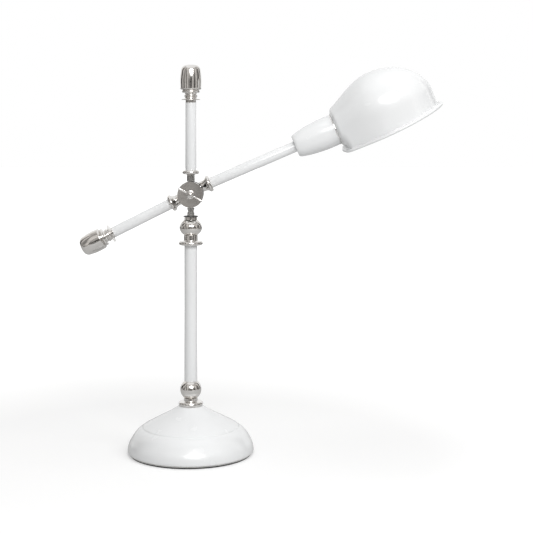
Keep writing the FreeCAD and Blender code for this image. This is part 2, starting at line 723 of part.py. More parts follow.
def arm_lead():
    """The twin lead from the knuckle's pocket to the lampholder."""
    start = POCKET_OUT_R - 2 - FRONT_STUB_L
    return at_front(rod(LEAD_R, start, CUP_MOUTH - HOLDER_BACK - EASE))


def cup_outline(inset):
    """The cup's curved side as (radius, z) points, moved inwards by inset."""
    return [(r - inset, -z) for z, r in CUP_PROFILE]


def cup_solid(inset):
    """The space inside the cup's outer face, moved inwards by inset."""
    side = Part.BSplineCurve()
    side.interpolate([point_rz(p) for p in cup_outline(inset)])
    back_r, back_z = cup_outline(inset)[0]
    mouth_r = cup_outline(inset)[-1][0]
    back = -CUP_L + inset
    mouth = -NECK_RING_T
    wire = Part.Wire([side.toShape(),
                      Part.LineSegment(V(mouth_r, 0, mouth), V(0, 0, mouth)).toShape(),
                      Part.LineSegment(V(0, 0, mouth), V(0, 0, back)).toShape(),
                      Part.LineSegment(V(0, 0, back), V(back_r - 1.3, 0, back)).toShape(),
                      Part.LineSegment(V(back_r - 1.3, 0, back), V(back_r, 0, back_z)).toShape()])
    return Part.Face(wire).revolve(ORIGIN, Z_AXIS, 360)


def socket_cup():
    cup = cup_solid(0).cut(cup_solid(CUP_WALL))
    return at_mouth(cup.cut(rod(ROD_R + FIT, -CUP_L - 1, 0)))


def neck_ring():
    """The thin bright ring between the cup's mouth and the shade."""
    return at_mouth(tube(NECK_RING_R, HOLDER_R + FIT, -NECK_RING_T, -FACE))


def cup_nipple():
    low = -CUP_L - NIPPLE_IN_TUBE
    return at_mouth(tube(ROD_R, ROD_BORE_R, low, -HOLDER_CAP_BACK + HOLDER_CAP_T + 2))


def cup_locknut():
    low = -CUP_L + CUP_WALL
    return at_mouth(hex_ring(NUT_AF, ROD_R + FIT, low, low + LOCKNUT_T))


def holder_cap():
    """The domed back of the lampholder, screwed on to the nipple."""
    back = -HOLDER_CAP_BACK
    front = -HOLDER_BACK
    wall = HOLDER_CAP_T
    cap = turned([(ROD_R + FIT, back),
                  (HOLDER_CAP_R, back),
                  (HOLDER_R - 0.4, front - 1),
                  (HOLDER_R - 0.4, front),
                  (HOLDER_R - 0.4 - wall, front),
                  (HOLDER_R - 0.4 - wall, front - 1),
                  (HOLDER_CAP_R - wall / 2, back + wall),
                  (ROD_R + 2, back + wall),
                  (ROD_R + 2, back + 2 * wall + 1),
                  (ROD_R + FIT, back + 2 * wall + 1)])
    return at_mouth(cap)


def holder_body():
    """The insulating body of the lampholder; the shade turns on its front skirt."""
    back = -HOLDER_BACK
    floor = back + HOLDER_FLOOR_T
    bore = SCREW_SHELL_R + FIT
    return at_mouth(turned([(0, back),
                            (HOLDER_R, back),
                            (HOLDER_R, HOLDER_FRONT),
                            (bore, HOLDER_FRONT),
                            (bore, floor),
                            (0, floor)]))


def screw_shell():
    low = -HOLDER_BACK + HOLDER_FLOOR_T
    return at_mouth(tube(SCREW_SHELL_R, SCREW_SHELL_R - SCREW_SHELL_T, low, HOLDER_FRONT - 2))


def centre_contact():
    low = -HOLDER_BACK + HOLDER_FLOOR_T
    return at_mouth(rod(CONTACT_R, low, low + CONTACT_T))


def terminal_screws():
    """The two lead terminals on the back of the lampholder's body."""
    screw = rod(SCREW_R, -HOLDER_BACK - SCREW_R, -HOLDER_BACK)
    pair = [screw.translated(V(0, side * CONTACT_R * 2, 0)) for side in (-1, 1)]
    return at_mouth(Part.makeCompound(pair))


def shade_nut():
    """The ring nut on the lampholder's skirt that holds the shade on."""
    low = SHADE_WALL + FACE
    nut = turned([(HOLDER_R + FIT, low),
                  (SHADE_NUT_R, low),
                  (SHADE_NUT_R + 2.0, low + SHADE_NUT_T / 2),
                  (SHADE_NUT_R + 2.0, low + SHADE_NUT_T),
                  (HOLDER_R + FIT, low + SHADE_NUT_T)])
    return at_mouth(nut)


def bulb_cap():
    """The bulb's screw cap with its centre tip."""
    tip = -HOLDER_BACK + HOLDER_FLOOR_T + CONTACT_T
    low = tip + BULB_TIP_L
    body = turned([(0, tip),
                   (CONTACT_R, tip),
                   (CONTACT_R, tip + 1),
                   (BULB_CAP_R - 2, low),
                   (BULB_CAP_R, low + 1.5),
                   (BULB_CAP_R, low + BULB_CAP_L),
                   (0, low + BULB_CAP_L)])
    return at_mouth(body)


def bulb_glass():
    """The bulb's hollow glass, open at its neck."""
    low = -HOLDER_BACK + HOLDER_FLOOR_T + CONTACT_T + BULB_TIP_L + BULB_CAP_L
    neck_r = BULB_CAP_R - 0.6
    meet_z = BULB_CENTRE - 17.0
    rise = BULB_CENTRE - meet_z
    top = BULB_CENTRE + BULB_R
    inner_r = BULB_R - BULB_GLASS_T
    return at_mouth(turned([(neck_r - BULB_GLASS_T, low),
                            (neck_r, low),
                            (neck_r, HOLDER_FRONT),
                            (math.sqrt(BULB_R ** 2 - rise ** 2), meet_z),
                            ((BULB_R, BULB_CENTRE), (0, top)),
                            (0, top - BULB_GLASS_T),
                            ((inner_r, BULB_CENTRE), (math.sqrt(inner_r ** 2 - rise ** 2), meet_z)),
                            (neck_r - BULB_GLASS_T, HOLDER_FRONT)]))


# ---- shade --------------------------------------------------------------------------------------
def side_curve(inset):
    """The shade's side line in the YZ plane, from the end wall to the tip, moved inwards by inset."""
    base = Part.BSplineCurve()
    along = V(0, SIDE_SLOPE, 1).normalize()
    base.interpolate([V(0, r, z) for r, z in SHADE_PROFILE], InitialTangent=along, FinalTangent=V(0, -1, 0))
    end_z = END_WALL + inset
    steps = 2 * len(SHADE_PROFILE)
    points = []
    for i in range(steps + 1):
        parameter = base.FirstParameter + (base.LastParameter - base.FirstParameter) * i / steps
        tangent = base.tangent(parameter)[0]
        points.append(base.value(parameter) + V(0, -tangent.z, tangent.y) * inset)
    foot = points[0] + along * ((end_z - points[0].z) / along.z)
    kept = [point for point in points if point.z > end_z + SHADE_WALL]
    kept[-1].y = TIP_FLAT
    moved_curve = Part.BSplineCurve()
    moved_curve.interpolate([foot] + kept, InitialTangent=along, FinalTangent=V(0, -1, 0))
    return moved_curve


def plan_prism(inset, depth):
    """The shade's plan, moved inwards by inset, as a solid from the arm's axis down by depth."""
    curve = side_curve(inset)
    start = curve.value(curve.FirstParameter)
    tip = curve.value(curve.LastParameter)
    half = [curve.toShape(),
            Part.makeLine(tip, V(0, 0, tip.z)),
            Part.makeLine(start, V(0, 0, start.z))]
    other = [edge.mirror(ORIGIN, Y_AXIS) for edge in half]
    outline = Part.Wire(Part.sortEdges(half + other)[0])
    return Part.Face(outline).extrude(V(depth, 0, 0))


def shoulder_line(inset):
    """The cone from the neck's plate to the end wall as (radius, z) points, moved inwards by inset."""
    curve = side_curve(inset)
    start = curve.value(curve.FirstParameter)
    return [(0, inset), (SHADE_NECK_R, inset), (SHOULDER_R - inset, SHOULDER_L + inset / 2), (start.y, start.z)]


def shade_body(inset, depth):
    """The shade's outer form moved inwards by inset, filled: half a turn above the arm, straight below."""
    shoulder = [V(0, r, z) for r, z in shoulder_line(inset)]
    curve = side_curve(inset)
    tip = curve.value(curve.LastParameter)
    closing = Part.makePolygon([tip, V(0, 0, tip.z), shoulder[0]])
    above = Part.Wire(Part.makePolygon(shoulder).Edges + [curve.toShape()] + closing.Edges)
    foot = V(0, 0, shoulder[-1].z)
    below = Part.makePolygon(shoulder + [foot, shoulder[0]])
    body = Part.Face(above).revolve(ORIGIN, Z_AXIS, 180)
    body = body.fuse(Part.Face(below).revolve(ORIGIN, Z_AXIS, -180))
    return body.fuse(plan_prism(inset, depth))


def tilted(shape):
    """A copy turned from the arm's axis to the slope of the shade's mouth."""
    copy = shape.copy()
    copy.rotate(V(MOUTH_DROP, 0, 0), Y_AXIS, -MOUTH_TILT)
    return copy


def shade_rim():
    """The flange round the mouth with its rolled bead, rounded at the two corners by the neck."""
    flange = plan_prism(-RIM_OUT, RIM_T)
    corners = [edge for edge in flange.Edges
               if edge.BoundBox.DiagonalLength < 1.01 * RIM_T and abs(edge.CenterOfMass.y) > 1]
    flange = flange.makeFillet(RIM_CORNER_R, corners)
    faces = [face for face in flange.Faces if face.CenterOfMass.x < TINY]
    path = faces[0].OuterWire
    start = path.Edges[0].valueAt(path.Edges[0].FirstParameter)
    tangent = path.Edges[0].tangentAt(path.Edges[0].FirstParameter)
    ring = Part.Wire(Part.makeCircle(BEAD_R, start, tangent))
    bead = path.makePipeShell([ring], True, False).translated(V(RIM_T, 0, 0))
    at_rim = V(MOUTH_DROP - RIM_T, 0, 0)
    return tilted(flange.fuse(bead).translated(at_rim))


def shade():
    """The whole shade with its rolled rim, at its place on the lampholder."""
    depth = 2 * MOUTH_DROP
    size = 4 * BASE_R
    beyond_mouth = Part.makeBox(size, size, size, V(MOUTH_DROP, -size / 2, -size / 4))
    body = shade_body(0, depth).cut(tilted(beyond_mouth)).fuse(shade_rim())
    body = body.cut(shade_body(SHADE_WALL, depth)).cut(rod(HOLDER_R + RUN, -1, 2 * SHADE_WALL))
    body.rotate(ORIGIN, Z_AXIS, SHADE_ROLL)
    return at_mouth(body)


def nodes():
    """Every piece of the lamp by name."""
    return {
        "foot_pad": foot_pad(),
        "base_plate": base_plate(),
        "plate_screws": plate_screws(),
        "ballast": ballast(),
        "base_shell": base_shell(),
        "cord_gland": cord_gland(),
        "terminal_block": terminal_block(),
        "stem_rod": stem_rod(),
        "rod_washer": rod_washer(),
        "rod_nut": rod_nut(),
        "stem_lead": stem_lead(),
        "foot_collar": foot_collar(),
        "foot_ball": foot_ball(),
        "lower_tube": lower_tube(),
        "stem_flange": stem_flange(),
        "stem_ball": stem_ball(),
        "swivel_washer": swivel_washer(),
        "swivel_stud": swivel_stud(),
        "swivel_screw": swivel_screw(),
        "post_knuckle": post_knuckle(),
        "friction_washer": friction_washer(),
        "pivot_bolt": pivot_bolt(),
        "rear_washer": rear_washer(),
        "upper_coupling": coupling(STUB_TOP_Z),
        "upper_nipple": nipple(0, STUB_TOP_Z),
        "upper_tube": upper_tube(),
        "finial_plug": end_plug(FINIAL_Z),
        "finial_collar": end_collar(FINIAL_Z),
        "finial_stud": end_stud(FINIAL_Z),
        "top_finial": end_weight(FINIAL_Z, FINIAL_L),
        "cup_washer": cup_washer(),
        "wing_nut": wing_nut(),
        "arm_knuckle": arm_knuckle(),
        "pivot_bush": pivot_bush(),
        "rear_coupling": at_rear(coupling(REAR_STUB_L)),
        "rear_nipple": at_rear(nipple(0, REAR_STUB_L)),
        "rear_tube": rear_tube(),
        "weight_plug": at_rear(end_plug(REAR_TUBE_END)),
        "weight_collar": at_rear(end_collar(REAR_TUBE_END)),
        "weight_stud": at_rear(end_stud(REAR_TUBE_END)),
        "counterweight": at_rear(end_weight(REAR_TUBE_END, WEIGHT_L)),
        "front_coupling": at_front(coupling(0)),
        "front_nipple": at_front(nipple(ROD_BORE_R, 0)),
        "front_tube": front_tube(),
        "arm_lead": arm_lead(),
        "socket_cup": socket_cup(),
        "cup_nipple": cup_nipple(),
        "cup_locknut": cup_locknut(),
        "neck_ring": neck_ring(),
        "holder_cap": holder_cap(),
        "holder_body": holder_body(),
        "terminal_screws": terminal_screws(),
        "screw_shell": screw_shell(),
        "centre_contact": centre_contact(),
        "shade_nut": shade_nut(),
        "bulb_cap": bulb_cap(),
        "bulb_glass": bulb_glass(),
        "shade": shade(),
    }


def main():
    os.makedirs("parts", exist_ok=True)
    for name, shape in nodes().items():
        shape.exportStep(f"parts/{name}.step")
        box = shape.BoundBox
        print(f"{name}: solids {len(shape.Solids)}, valid {shape.isValid()}, "
              f"volume {shape.Volume:.0f}, X {box.XMin:.1f}..{box.XMax:.1f}, "
              f"Y {box.YMin:.1f}..{box.YMax:.1f}, Z {box.ZMin:.1f}..{box.ZMax:.1f}")


main()
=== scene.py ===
"""Finished look of the counterweight balance desk lamp, on the frame of its CAD model.

Sizes in the classes are millimetres; Blender's own units are metres. +Z is up, +X points to the shade and
-Y to the front, where the wing nut is.
"""
import sys

import json
import logging
import math
from dataclasses import dataclass, field
from enum import Enum

import bmesh
import bpy
import numpy as np
from mathutils import Matrix, Vector


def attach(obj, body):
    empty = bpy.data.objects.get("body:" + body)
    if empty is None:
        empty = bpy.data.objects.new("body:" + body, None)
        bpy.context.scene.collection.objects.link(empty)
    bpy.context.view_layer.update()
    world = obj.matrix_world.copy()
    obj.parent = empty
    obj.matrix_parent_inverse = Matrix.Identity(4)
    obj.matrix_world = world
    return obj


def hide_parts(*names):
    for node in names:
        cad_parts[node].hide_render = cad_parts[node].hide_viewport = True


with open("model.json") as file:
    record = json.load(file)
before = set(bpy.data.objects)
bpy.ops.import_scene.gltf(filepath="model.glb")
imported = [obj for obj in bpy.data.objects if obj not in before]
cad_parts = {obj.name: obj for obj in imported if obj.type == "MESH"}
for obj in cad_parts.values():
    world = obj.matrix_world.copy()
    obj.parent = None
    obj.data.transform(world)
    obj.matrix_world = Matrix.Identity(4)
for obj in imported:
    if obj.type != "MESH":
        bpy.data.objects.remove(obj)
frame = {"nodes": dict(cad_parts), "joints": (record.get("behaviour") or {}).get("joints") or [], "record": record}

log = logging.getLogger("desk_lamp")
MM = 0.001

Pair = tuple[float, float]
Outline = list


class Cut(Enum):
    """How one body meets another."""

    JOIN = "UNION"
    REMOVE = "DIFFERENCE"


class Axis(Enum):
    """Axis that a turned piece stands on."""

    UP = "up"
    ACROSS = "across"
    BACKWARDS = "backwards"
    FRONT_ARM = "front_arm"
    REAR_ARM = "rear_arm"
    MOUTH = "mouth"


# ---- places ----------------------------------------------------------------------------------------
@dataclass(frozen=True)
class Places:
    """Where the lamp's own axes lie: the tilt axis read from the frame's joints, the rest given in mm and degrees."""

    arm_raise: float = 26.6
    front_droop: float = 3.3
    front_stub: float = 23.0
    front_lift: float = 1.1
    cup_mouth: float = 175.7

    def pivot(self) -> Vector:
        """Centre of the tilting half on the tilt axis, in metres."""
        return Vector(next(j for j in frame["joints"] if j["name"] == "arm_tilt")["pos_m"])

    def place(self, axis: Axis, along: float = 0.0) -> Matrix:
        """Matrix from a turned piece's own frame to the lamp's.

        Args:
            axis: The axis that the piece stands on.
            along: Distance along that axis in mm; for Axis.ACROSS it is the place on Y.

        Returns:
            The placing matrix, in metres.
        """
        pivot = self.pivot()
        shift = Matrix.Translation((0, 0, along * MM))
        if axis is Axis.UP:
            return shift
        if axis is Axis.ACROSS:
            return Matrix.Translation((0, along * MM, pivot.z)) @ Matrix.Rotation(math.radians(90), 4, "X")
        if axis is Axis.BACKWARDS:
            return Matrix.Translation((0, 0, along * MM)) @ Matrix.Rotation(math.radians(-90), 4, "X")
        if axis is Axis.REAR_ARM:
            turn = Matrix.Rotation(math.radians(-90 - self.arm_raise), 4, "Y")
            return Matrix.Translation(pivot) @ turn @ shift
        rise = math.radians(self.arm_raise)
        ahead = Vector((math.cos(rise), 0, math.sin(rise))) * self.front_stub * MM
        lift = Vector((-math.sin(rise), 0, math.cos(rise))) * self.front_lift * MM
        turn = Matrix.Rotation(math.radians(90 - self.arm_raise + self.front_droop), 4, "Y")
        front = Matrix.Translation(pivot + ahead + lift) @ turn
        if axis is Axis.MOUTH:
            shift = Matrix.Translation((0, 0, (self.cup_mouth + along) * MM))
        return front @ shift


PLACES = Places()


# ---- lines -----------------------------------------------------------------------------------------
def arc_points(start: Pair, middle: Pair, end: Pair, step: float = 6.0) -> list[Pair]:
    """Points on the circle through three points, without the start.

    Args:
        start: First point.
        middle: A point between.
        end: Last point.
        step: Largest angle between points, in degrees.

    Returns:
        The points up to and with the end.
    """
    (ax, ay), (bx, by), (cx, cy) = start, middle, end
    twice = 2 * (ax * (by - cy) + bx * (cy - ay) + cx * (ay - by))
    if abs(twice) < 1e-9:
        return [end]
    a2, b2, c2 = ax * ax + ay * ay, bx * bx + by * by, cx * cx + cy * cy
    ox = (a2 * (by - cy) + b2 * (cy - ay) + c2 * (ay - by)) / twice
    oy = (a2 * (cx - bx) + b2 * (ax - cx) + c2 * (bx - ax)) / twice
    radius = math.hypot(ax - ox, ay - oy)
    first, mid, last = (math.atan2(y - oy, x - ox) for x, y in (start, middle, end))
    sweep = (last - first) % (2 * math.pi)
    if (mid - first) % (2 * math.pi) > sweep:
        sweep -= 2 * math.pi
    count = max(3, math.ceil(abs(math.degrees(sweep)) / step))
    return [(ox + radius * math.cos(first + sweep * i / count), oy + radius * math.sin(first + sweep * i / count))
            for i in range(1, count + 1)]


def flowing_line(points: list[Pair], start: Pair, end: Pair, count: int) -> list[Pair]:
    """A smooth curve through points with given directions at its ends.

    Args:
        points: The points it goes through.
        start: Direction at the first point, of length one.
        end: Direction at the last point, of length one.
        count: Number of spans to sample.

    Returns:
        count + 1 points on the curve.
    """
    p = np.array(points, float)
    gap = np.linalg.norm(np.diff(p, axis=0), axis=1)
    at = np.concatenate([[0.0], np.cumsum(gap)])
    matrix = np.eye(len(p))
    right = np.zeros_like(p)
    right[0], right[-1] = start, end
    for i in range(1, len(p) - 1):
        matrix[i, i - 1:i + 2] = 1 / gap[i - 1], 2 / gap[i - 1] + 2 / gap[i], 1 / gap[i]
        right[i] = 3 * ((p[i] - p[i - 1]) / gap[i - 1] ** 2 + (p[i + 1] - p[i]) / gap[i] ** 2)
    slope = np.linalg.solve(matrix, right)
    made = []
    for t in np.linspace(0, at[-1], count + 1):
        i = min(int(np.searchsorted(at, t, side="right")) - 1, len(gap) - 1)
        h, s = gap[i], (t - at[i]) / gap[i]
        q = ((2 * s ** 3 - 3 * s ** 2 + 1) * p[i] + (s ** 3 - 2 * s ** 2 + s) * h * slope[i]
             + (3 * s ** 2 - 2 * s ** 3) * p[i + 1] + (s ** 3 - s ** 2) * h * slope[i + 1])
        made.append((float(q[0]), float(q[1])))
    return made


def trace(outline: Outline, soft: float, closed: bool) -> list[Pair]:
    """An outline's points with its arcs sampled and its sharp corners rounded.

    Args:
        outline: (radius, z) points, and (middle, end) pairs for arcs.
        soft: Length in mm taken off each side of a sharp corner.
        closed: Whether the last point joins the first.

    Returns:
        The points in order.
    """
    points = [outline[0]]
    for step in outline[1:]:
        points += arc_points(points[-1], *step) if isinstance(step[0], tuple) else [step]
    made = []
    for i, (x, y) in enumerate(points):
        inner = closed or 0 < i < len(points) - 1
        (px, py), (nx, ny) = points[i - 1], points[(i + 1) % len(points)]
        before, after = math.hypot(x - px, y - py), math.hypot(nx - x, ny - y)
        turn = abs((math.atan2(ny - y, nx - x) - math.atan2(y - py, x - px) + math.pi) % (2 * math.pi) - math.pi)
        size = min(soft, 0.4 * before, 0.4 * after)
        if not inner or x < 1e-6 or turn < math.radians(25) or size < 0.02:
            made.append((x, y))
            continue
        ax, ay = x + (px - x) / before * size, y + (py - y) / before * size
        bx, by = x + (nx - x) / after * size, y + (ny - y) / after * size
        for s in (0.0, 0.33, 0.67, 1.0):
            made.append(((1 - s) ** 2 * ax + 2 * s * (1 - s) * x + s * s * bx,
                         (1 - s) ** 2 * ay + 2 * s * (1 - s) * y + s * s * by))
    return made


# ---- modelling steps -------------------------------------------------------------------------------
def only(piece: bpy.types.Object) -> None:
    """Select one piece alone and make it active."""
    bpy.ops.object.select_all(action="DESELECT")
    piece.select_set(True)
    bpy.context.view_layer.objects.active = piece


def apply(piece: bpy.types.Object, kind: str, **settings: object) -> None:
    """Add a modifier to a piece and apply it.

    Args:
        piece: The piece.
        kind: The modifier's type.
        settings: The modifier's properties.
    """
    modifier = piece.modifiers.new(kind.title(), kind)
    for key, value in settings.items():
        setattr(modifier, key, value)
    only(piece)
    bpy.ops.object.modifier_apply(modifier=modifier.name)


def combine(piece: bpy.types.Object, tool: bpy.types.Object, how: Cut) -> None:
    """Join a second body to a piece or cut it out, and drop the second body."""
    apply(piece, "BOOLEAN", operation=how.value, object=tool, solver="EXACT")
    bpy.data.objects.remove(tool, do_unlink=True)


def spun(name: str, line: list[Pair], closed: bool, place: Matrix, wall: float = 0.0, steps: int = 96,
         angle: float = 360.0) -> bpy.types.Object:
    """A turned body: its line is drawn by extruding one vertex, then spun about its axis.

    Args:
        name: The piece's name.
        line: (radius, z) points in mm.
        closed: Whether the line is a closed loop, as for a ring.
        place: From the piece's own frame to the lamp's.
        wall: Wall thickness in mm, inwards, or 0 for a solid line.
        steps: Steps of the spin.
        angle: Angle of the spin in degrees.

    Returns:
        The piece, at the origin with its place in its mesh.
    """
    run = [Vector((r * MM, 0, z * MM)) for r, z in (line + line[:1] if closed else line)]
    bpy.ops.object.select_all(action="DESELECT")
    bpy.ops.mesh.primitive_plane_add(size=MM, location=(0, 0, 0))
    piece = bpy.context.object
    piece.name = piece.data.name = name
    bpy.ops.object.mode_set(mode="EDIT")
    bpy.ops.mesh.select_all(action="SELECT")
    bpy.ops.mesh.merge(type="CENTER")
    bpy.ops.transform.translate(value=run[0])
    for here, there in zip(run, run[1:]):
        bpy.ops.mesh.extrude_region_move(TRANSFORM_OT_translate={"value": there - here})
    bpy.ops.mesh.select_all(action="SELECT")
    bpy.ops.mesh.spin(steps=steps, angle=math.radians(angle), center=(0, 0, 0), axis=(0, 0, 1))
    bpy.ops.mesh.select_all(action="SELECT")
    bpy.ops.mesh.remove_doubles(threshold=2e-6)
    bpy.ops.mesh.normals_make_consistent(inside=False)
    bpy.ops.object.mode_set(mode="OBJECT")
    if wall:
        apply(piece, "SOLIDIFY", thickness=wall * MM, offset=-1.0, use_even_offset=True)
    piece.data.transform(place)
    return piece


def swept(name: str, rows: list[list[Vector]]) -> bpy.types.Object:
    """A skin through rows of points, shaped from a grid.

    Args:
        name: The piece's name.
        rows: Rows of equally many points, in metres.

    Returns:
        The piece.
    """
    across, along = len(rows[0]) - 1, len(rows) - 1
    bpy.ops.object.select_all(action="DESELECT")
    bpy.ops.mesh.primitive_grid_add(x_subdivisions=across, y_subdivisions=along, size=1, location=(0, 0, 0))
    piece = bpy.context.object
    piece.name = piece.data.name = name
    for vertex in piece.data.vertices:
        column, row = round((vertex.co.x + 0.5) * across), round((vertex.co.y + 0.5) * along)
        vertex.co = rows[row][column]
    return piece


# ---- finishes --------------------------------------------------------------------------------------
class Graph:
    """A material's node tree with the few steps that the finishes share."""

    def __init__(self, name: str) -> None:
        """Start a material with its own shader."""
        self.material = bpy.data.materials.new(name)
        self.material.use_nodes = True
        self.tree = self.material.node_tree
        self.shader = self.tree.nodes["Principled BSDF"]
        self.place = self.tree.nodes.new("ShaderNodeTexCoord").outputs["Object"]

    def add(self, kind: str, **inputs: object) -> bpy.types.Node:
        """Add a node and fill its inputs.

        Args:
            kind: The node's type without its ShaderNode prefix.
            inputs: Values or sockets by input name; underscores stand for spaces.

        Returns:
            The node.
        """
        node = self.tree.nodes.new("ShaderNode" + kind)
        for key, value in inputs.items():
            self.fill(node.inputs[key.replace("_", " ")], value)
        return node

    def fill(self, socket: bpy.types.NodeSocket, value: object) -> None:
        """Link a socket to another, or set its value."""
        if isinstance(value, bpy.types.NodeSocket):
            self.tree.links.new(value, socket)
        else:
            socket.default_value = value

    def stretched(self, scale: Pair | tuple[float, float, float], offset: tuple[float, float, float] = (0, 0, 0)
                  ) -> bpy.types.NodeSocket:
        """Object coordinates moved by offset, then scaled."""
        moved = self.add("Mapping", Vector=self.place, Location=offset)
        return self.add("Mapping", Vector=moved.outputs["Vector"], Scale=scale).outputs["Vector"]

    def noise(self, scale: float, detail: float = 2.0, vector: bpy.types.NodeSocket | None = None
              ) -> bpy.types.NodeSocket:
        """Noise of a scale, as a factor."""
        made = self.add("TexNoise", Vector=vector or self.place, Scale=scale, Detail=detail)
        return made.outputs["Fac"]

    def between(self, factor: bpy.types.NodeSocket, low: float, high: float) -> bpy.types.NodeSocket:
        """A factor's middle range stretched from low to high."""
        node = self.add("MapRange", Value=factor)
        for key, value in zip(("From Min", "From Max", "To Min", "To Max"), (0.3, 0.7, low, high)):
            node.inputs[key].default_value = value
        return node.outputs["Result"]

    def tint(self, factor: bpy.types.NodeSocket, first: tuple, second: tuple) -> bpy.types.NodeSocket:
        """A colour between two by a factor."""
        ramp = self.add("ValToRGB", Fac=factor)
        ramp.color_ramp.elements[0].position, ramp.color_ramp.elements[1].position = 0.32, 0.68
        ramp.color_ramp.elements[0].color, ramp.color_ramp.elements[1].color = (*first, 1), (*second, 1)
        return ramp.outputs["Color"]

    def bump(self, height: bpy.types.NodeSocket, depth: float, strength: float = 1.0) -> None:
        """Relief of a depth in metres on the shader's normal."""
        node = self.add("Bump", Height=height, Strength=strength, Distance=depth)
        self.fill(self.shader.inputs["Normal"], node.outputs["Normal"])

    def shade(self, **inputs: object) -> bpy.types.Material:
        """Fill the shader's inputs and hand over the material."""
        for key, value in inputs.items():
            self.fill(self.shader.inputs[key.replace("_", " ")], value)
        return self.material


@dataclass(frozen=True)
class Enamel:
    """Glossy stoved enamel: fine orange peel, slight unevenness in gloss and tone."""

    name: str = "white_enamel"
    colour: tuple = (0.80, 0.808, 0.812)
    worn: tuple = (0.775, 0.780, 0.782)
    peel_scale: float = 520.0
    peel_depth: float = 0.000018

    def make(self) -> bpy.types.Material:
        """The finished material."""
        graph = Graph(self.name)
        graph.bump(graph.noise(self.peel_scale, 2.0), self.peel_depth)
        return graph.shade(Base_Color=graph.tint(graph.noise(7.0, 4.0), self.worn, self.colour),
                           Roughness=graph.between(graph.noise(38.0, 4.0), 0.20, 0.28),
                           Coat_Weight=0.35, Coat_Roughness=0.13)


@dataclass(frozen=True)
class Plating:
    """Polished plating with hairlines and a faint haze."""

    name: str = "chrome"
    colour: tuple = (0.80, 0.785, 0.765)
    hazy: tuple = (0.70, 0.68, 0.655)

    def make(self) -> bpy.types.Material:
        """The finished material."""
        graph = Graph(self.name)
        hairline = graph.noise(30.0, 3.0, graph.stretched((90, 90, 6)))
        graph.bump(hairline, 0.000004, 0.35)
        return graph.shade(Base_Color=graph.tint(graph.noise(45.0, 5.0), self.hazy, self.colour), Metallic=1.0,
                           Roughness=graph.between(graph.noise(120.0, 5.0), 0.07, 0.15))


@dataclass(frozen=True)
class TurnedFace:
    """A face left with fine concentric tool marks round an axis that points to the front. Its colour is kept far darker
    than the plating's, a painted dark reflection.
    """

    centre: tuple = (0.0, 0.0, 0.0)
    name: str = "turned_face"
    # colour and bright sit far below the plating's colour: a painted dark reflection on the face, with random tone
    # between the two
    colour: tuple = (0.24, 0.235, 0.23)
    bright: tuple = (0.36, 0.355, 0.35)
    pitch: float = 0.00042

    def make(self) -> bpy.types.Material:
        """The finished material."""
        graph = Graph(self.name)
        flat = graph.stretched((1, 0, 1), tuple(-v for v in self.centre))
        away = graph.add("VectorMath")
        away.operation = "LENGTH"
        graph.fill(away.inputs[0], flat)
        count = graph.add("Math")
        count.operation = "MULTIPLY"
        graph.fill(count.inputs[0], away.outputs["Value"])
        count.inputs[1].default_value = 2 * math.pi / self.pitch
        wave = graph.add("Math")
        wave.operation = "SINE"
        graph.fill(wave.inputs[0], count.outputs["Value"])
        graph.bump(wave.outputs["Value"], 0.000012, 0.8)
        return graph.shade(Base_Color=graph.tint(graph.noise(160.0, 3.0), self.colour, self.bright), Metallic=1.0,
                           Roughness=graph.between(graph.noise(300.0, 3.0), 0.26, 0.38))


@dataclass(frozen=True)
class Metal:
    """Plain, zinced, rolled or cast metal with a grain."""

    name: str
    colour: tuple
    dark: tuple
    gloss: Pair = (0.28, 0.42)
    grain_scale: float = 700.0
    grain_depth: float = 0.00001
    metallic: float = 1.0

    def make(self) -> bpy.types.Material:
        """The finished material."""
        graph = Graph(self.name)
        graph.bump(graph.noise(self.grain_scale, 3.0), self.grain_depth)
        return graph.shade(Base_Color=graph.tint(graph.noise(90.0, 5.0), self.dark, self.colour),
                           Metallic=self.metallic, Roughness=graph.between(graph.noise(210.0, 4.0), *self.gloss))


@dataclass(frozen=True)
class Moulding:
    """Moulded plastic, resin or rubber with a fine skin."""

    name: str
    colour: tuple
    worn: tuple
    gloss: Pair = (0.36, 0.5)
    grain_scale: float = 1400.0
    grain_depth: float = 0.00002

    def make(self) -> bpy.types.Material:
        """The finished material."""
        graph = Graph(self.name)
        graph.bump(graph.noise(self.grain_scale, 4.0), self.grain_depth)
        return graph.shade(Base_Color=graph.tint(graph.noise(60.0, 4.0), self.colour, self.worn),
                           Roughness=graph.between(graph.noise(150.0, 3.0), *self.gloss))


@dataclass(frozen=True)
class OpalGlass:
    """Opal bulb glass: smooth outside, milky within."""

    name: str = "opal_glass"
    colour: tuple = (0.88, 0.87, 0.85)
    thick: tuple = (0.83, 0.82, 0.79)

    def make(self) -> bpy.types.Material:
        """The finished material."""
        graph = Graph(self.name)
        graph.bump(graph.noise(60.0, 2.0), 0.00002)
        return graph.shade(Base_Color=graph.tint(graph.noise(30.0, 3.0), self.thick, self.colour),
                           Roughness=graph.between(graph.noise(80.0, 2.0), 0.08, 0.14), Coat_Weight=0.3,
                           Subsurface_Weight=0.15, Subsurface_Scale=0.004)


SATIN = Metal("satin_plating", (0.93, 0.925, 0.915), (0.84, 0.83, 0.82), (0.2, 0.3), 500.0, 0.000006)

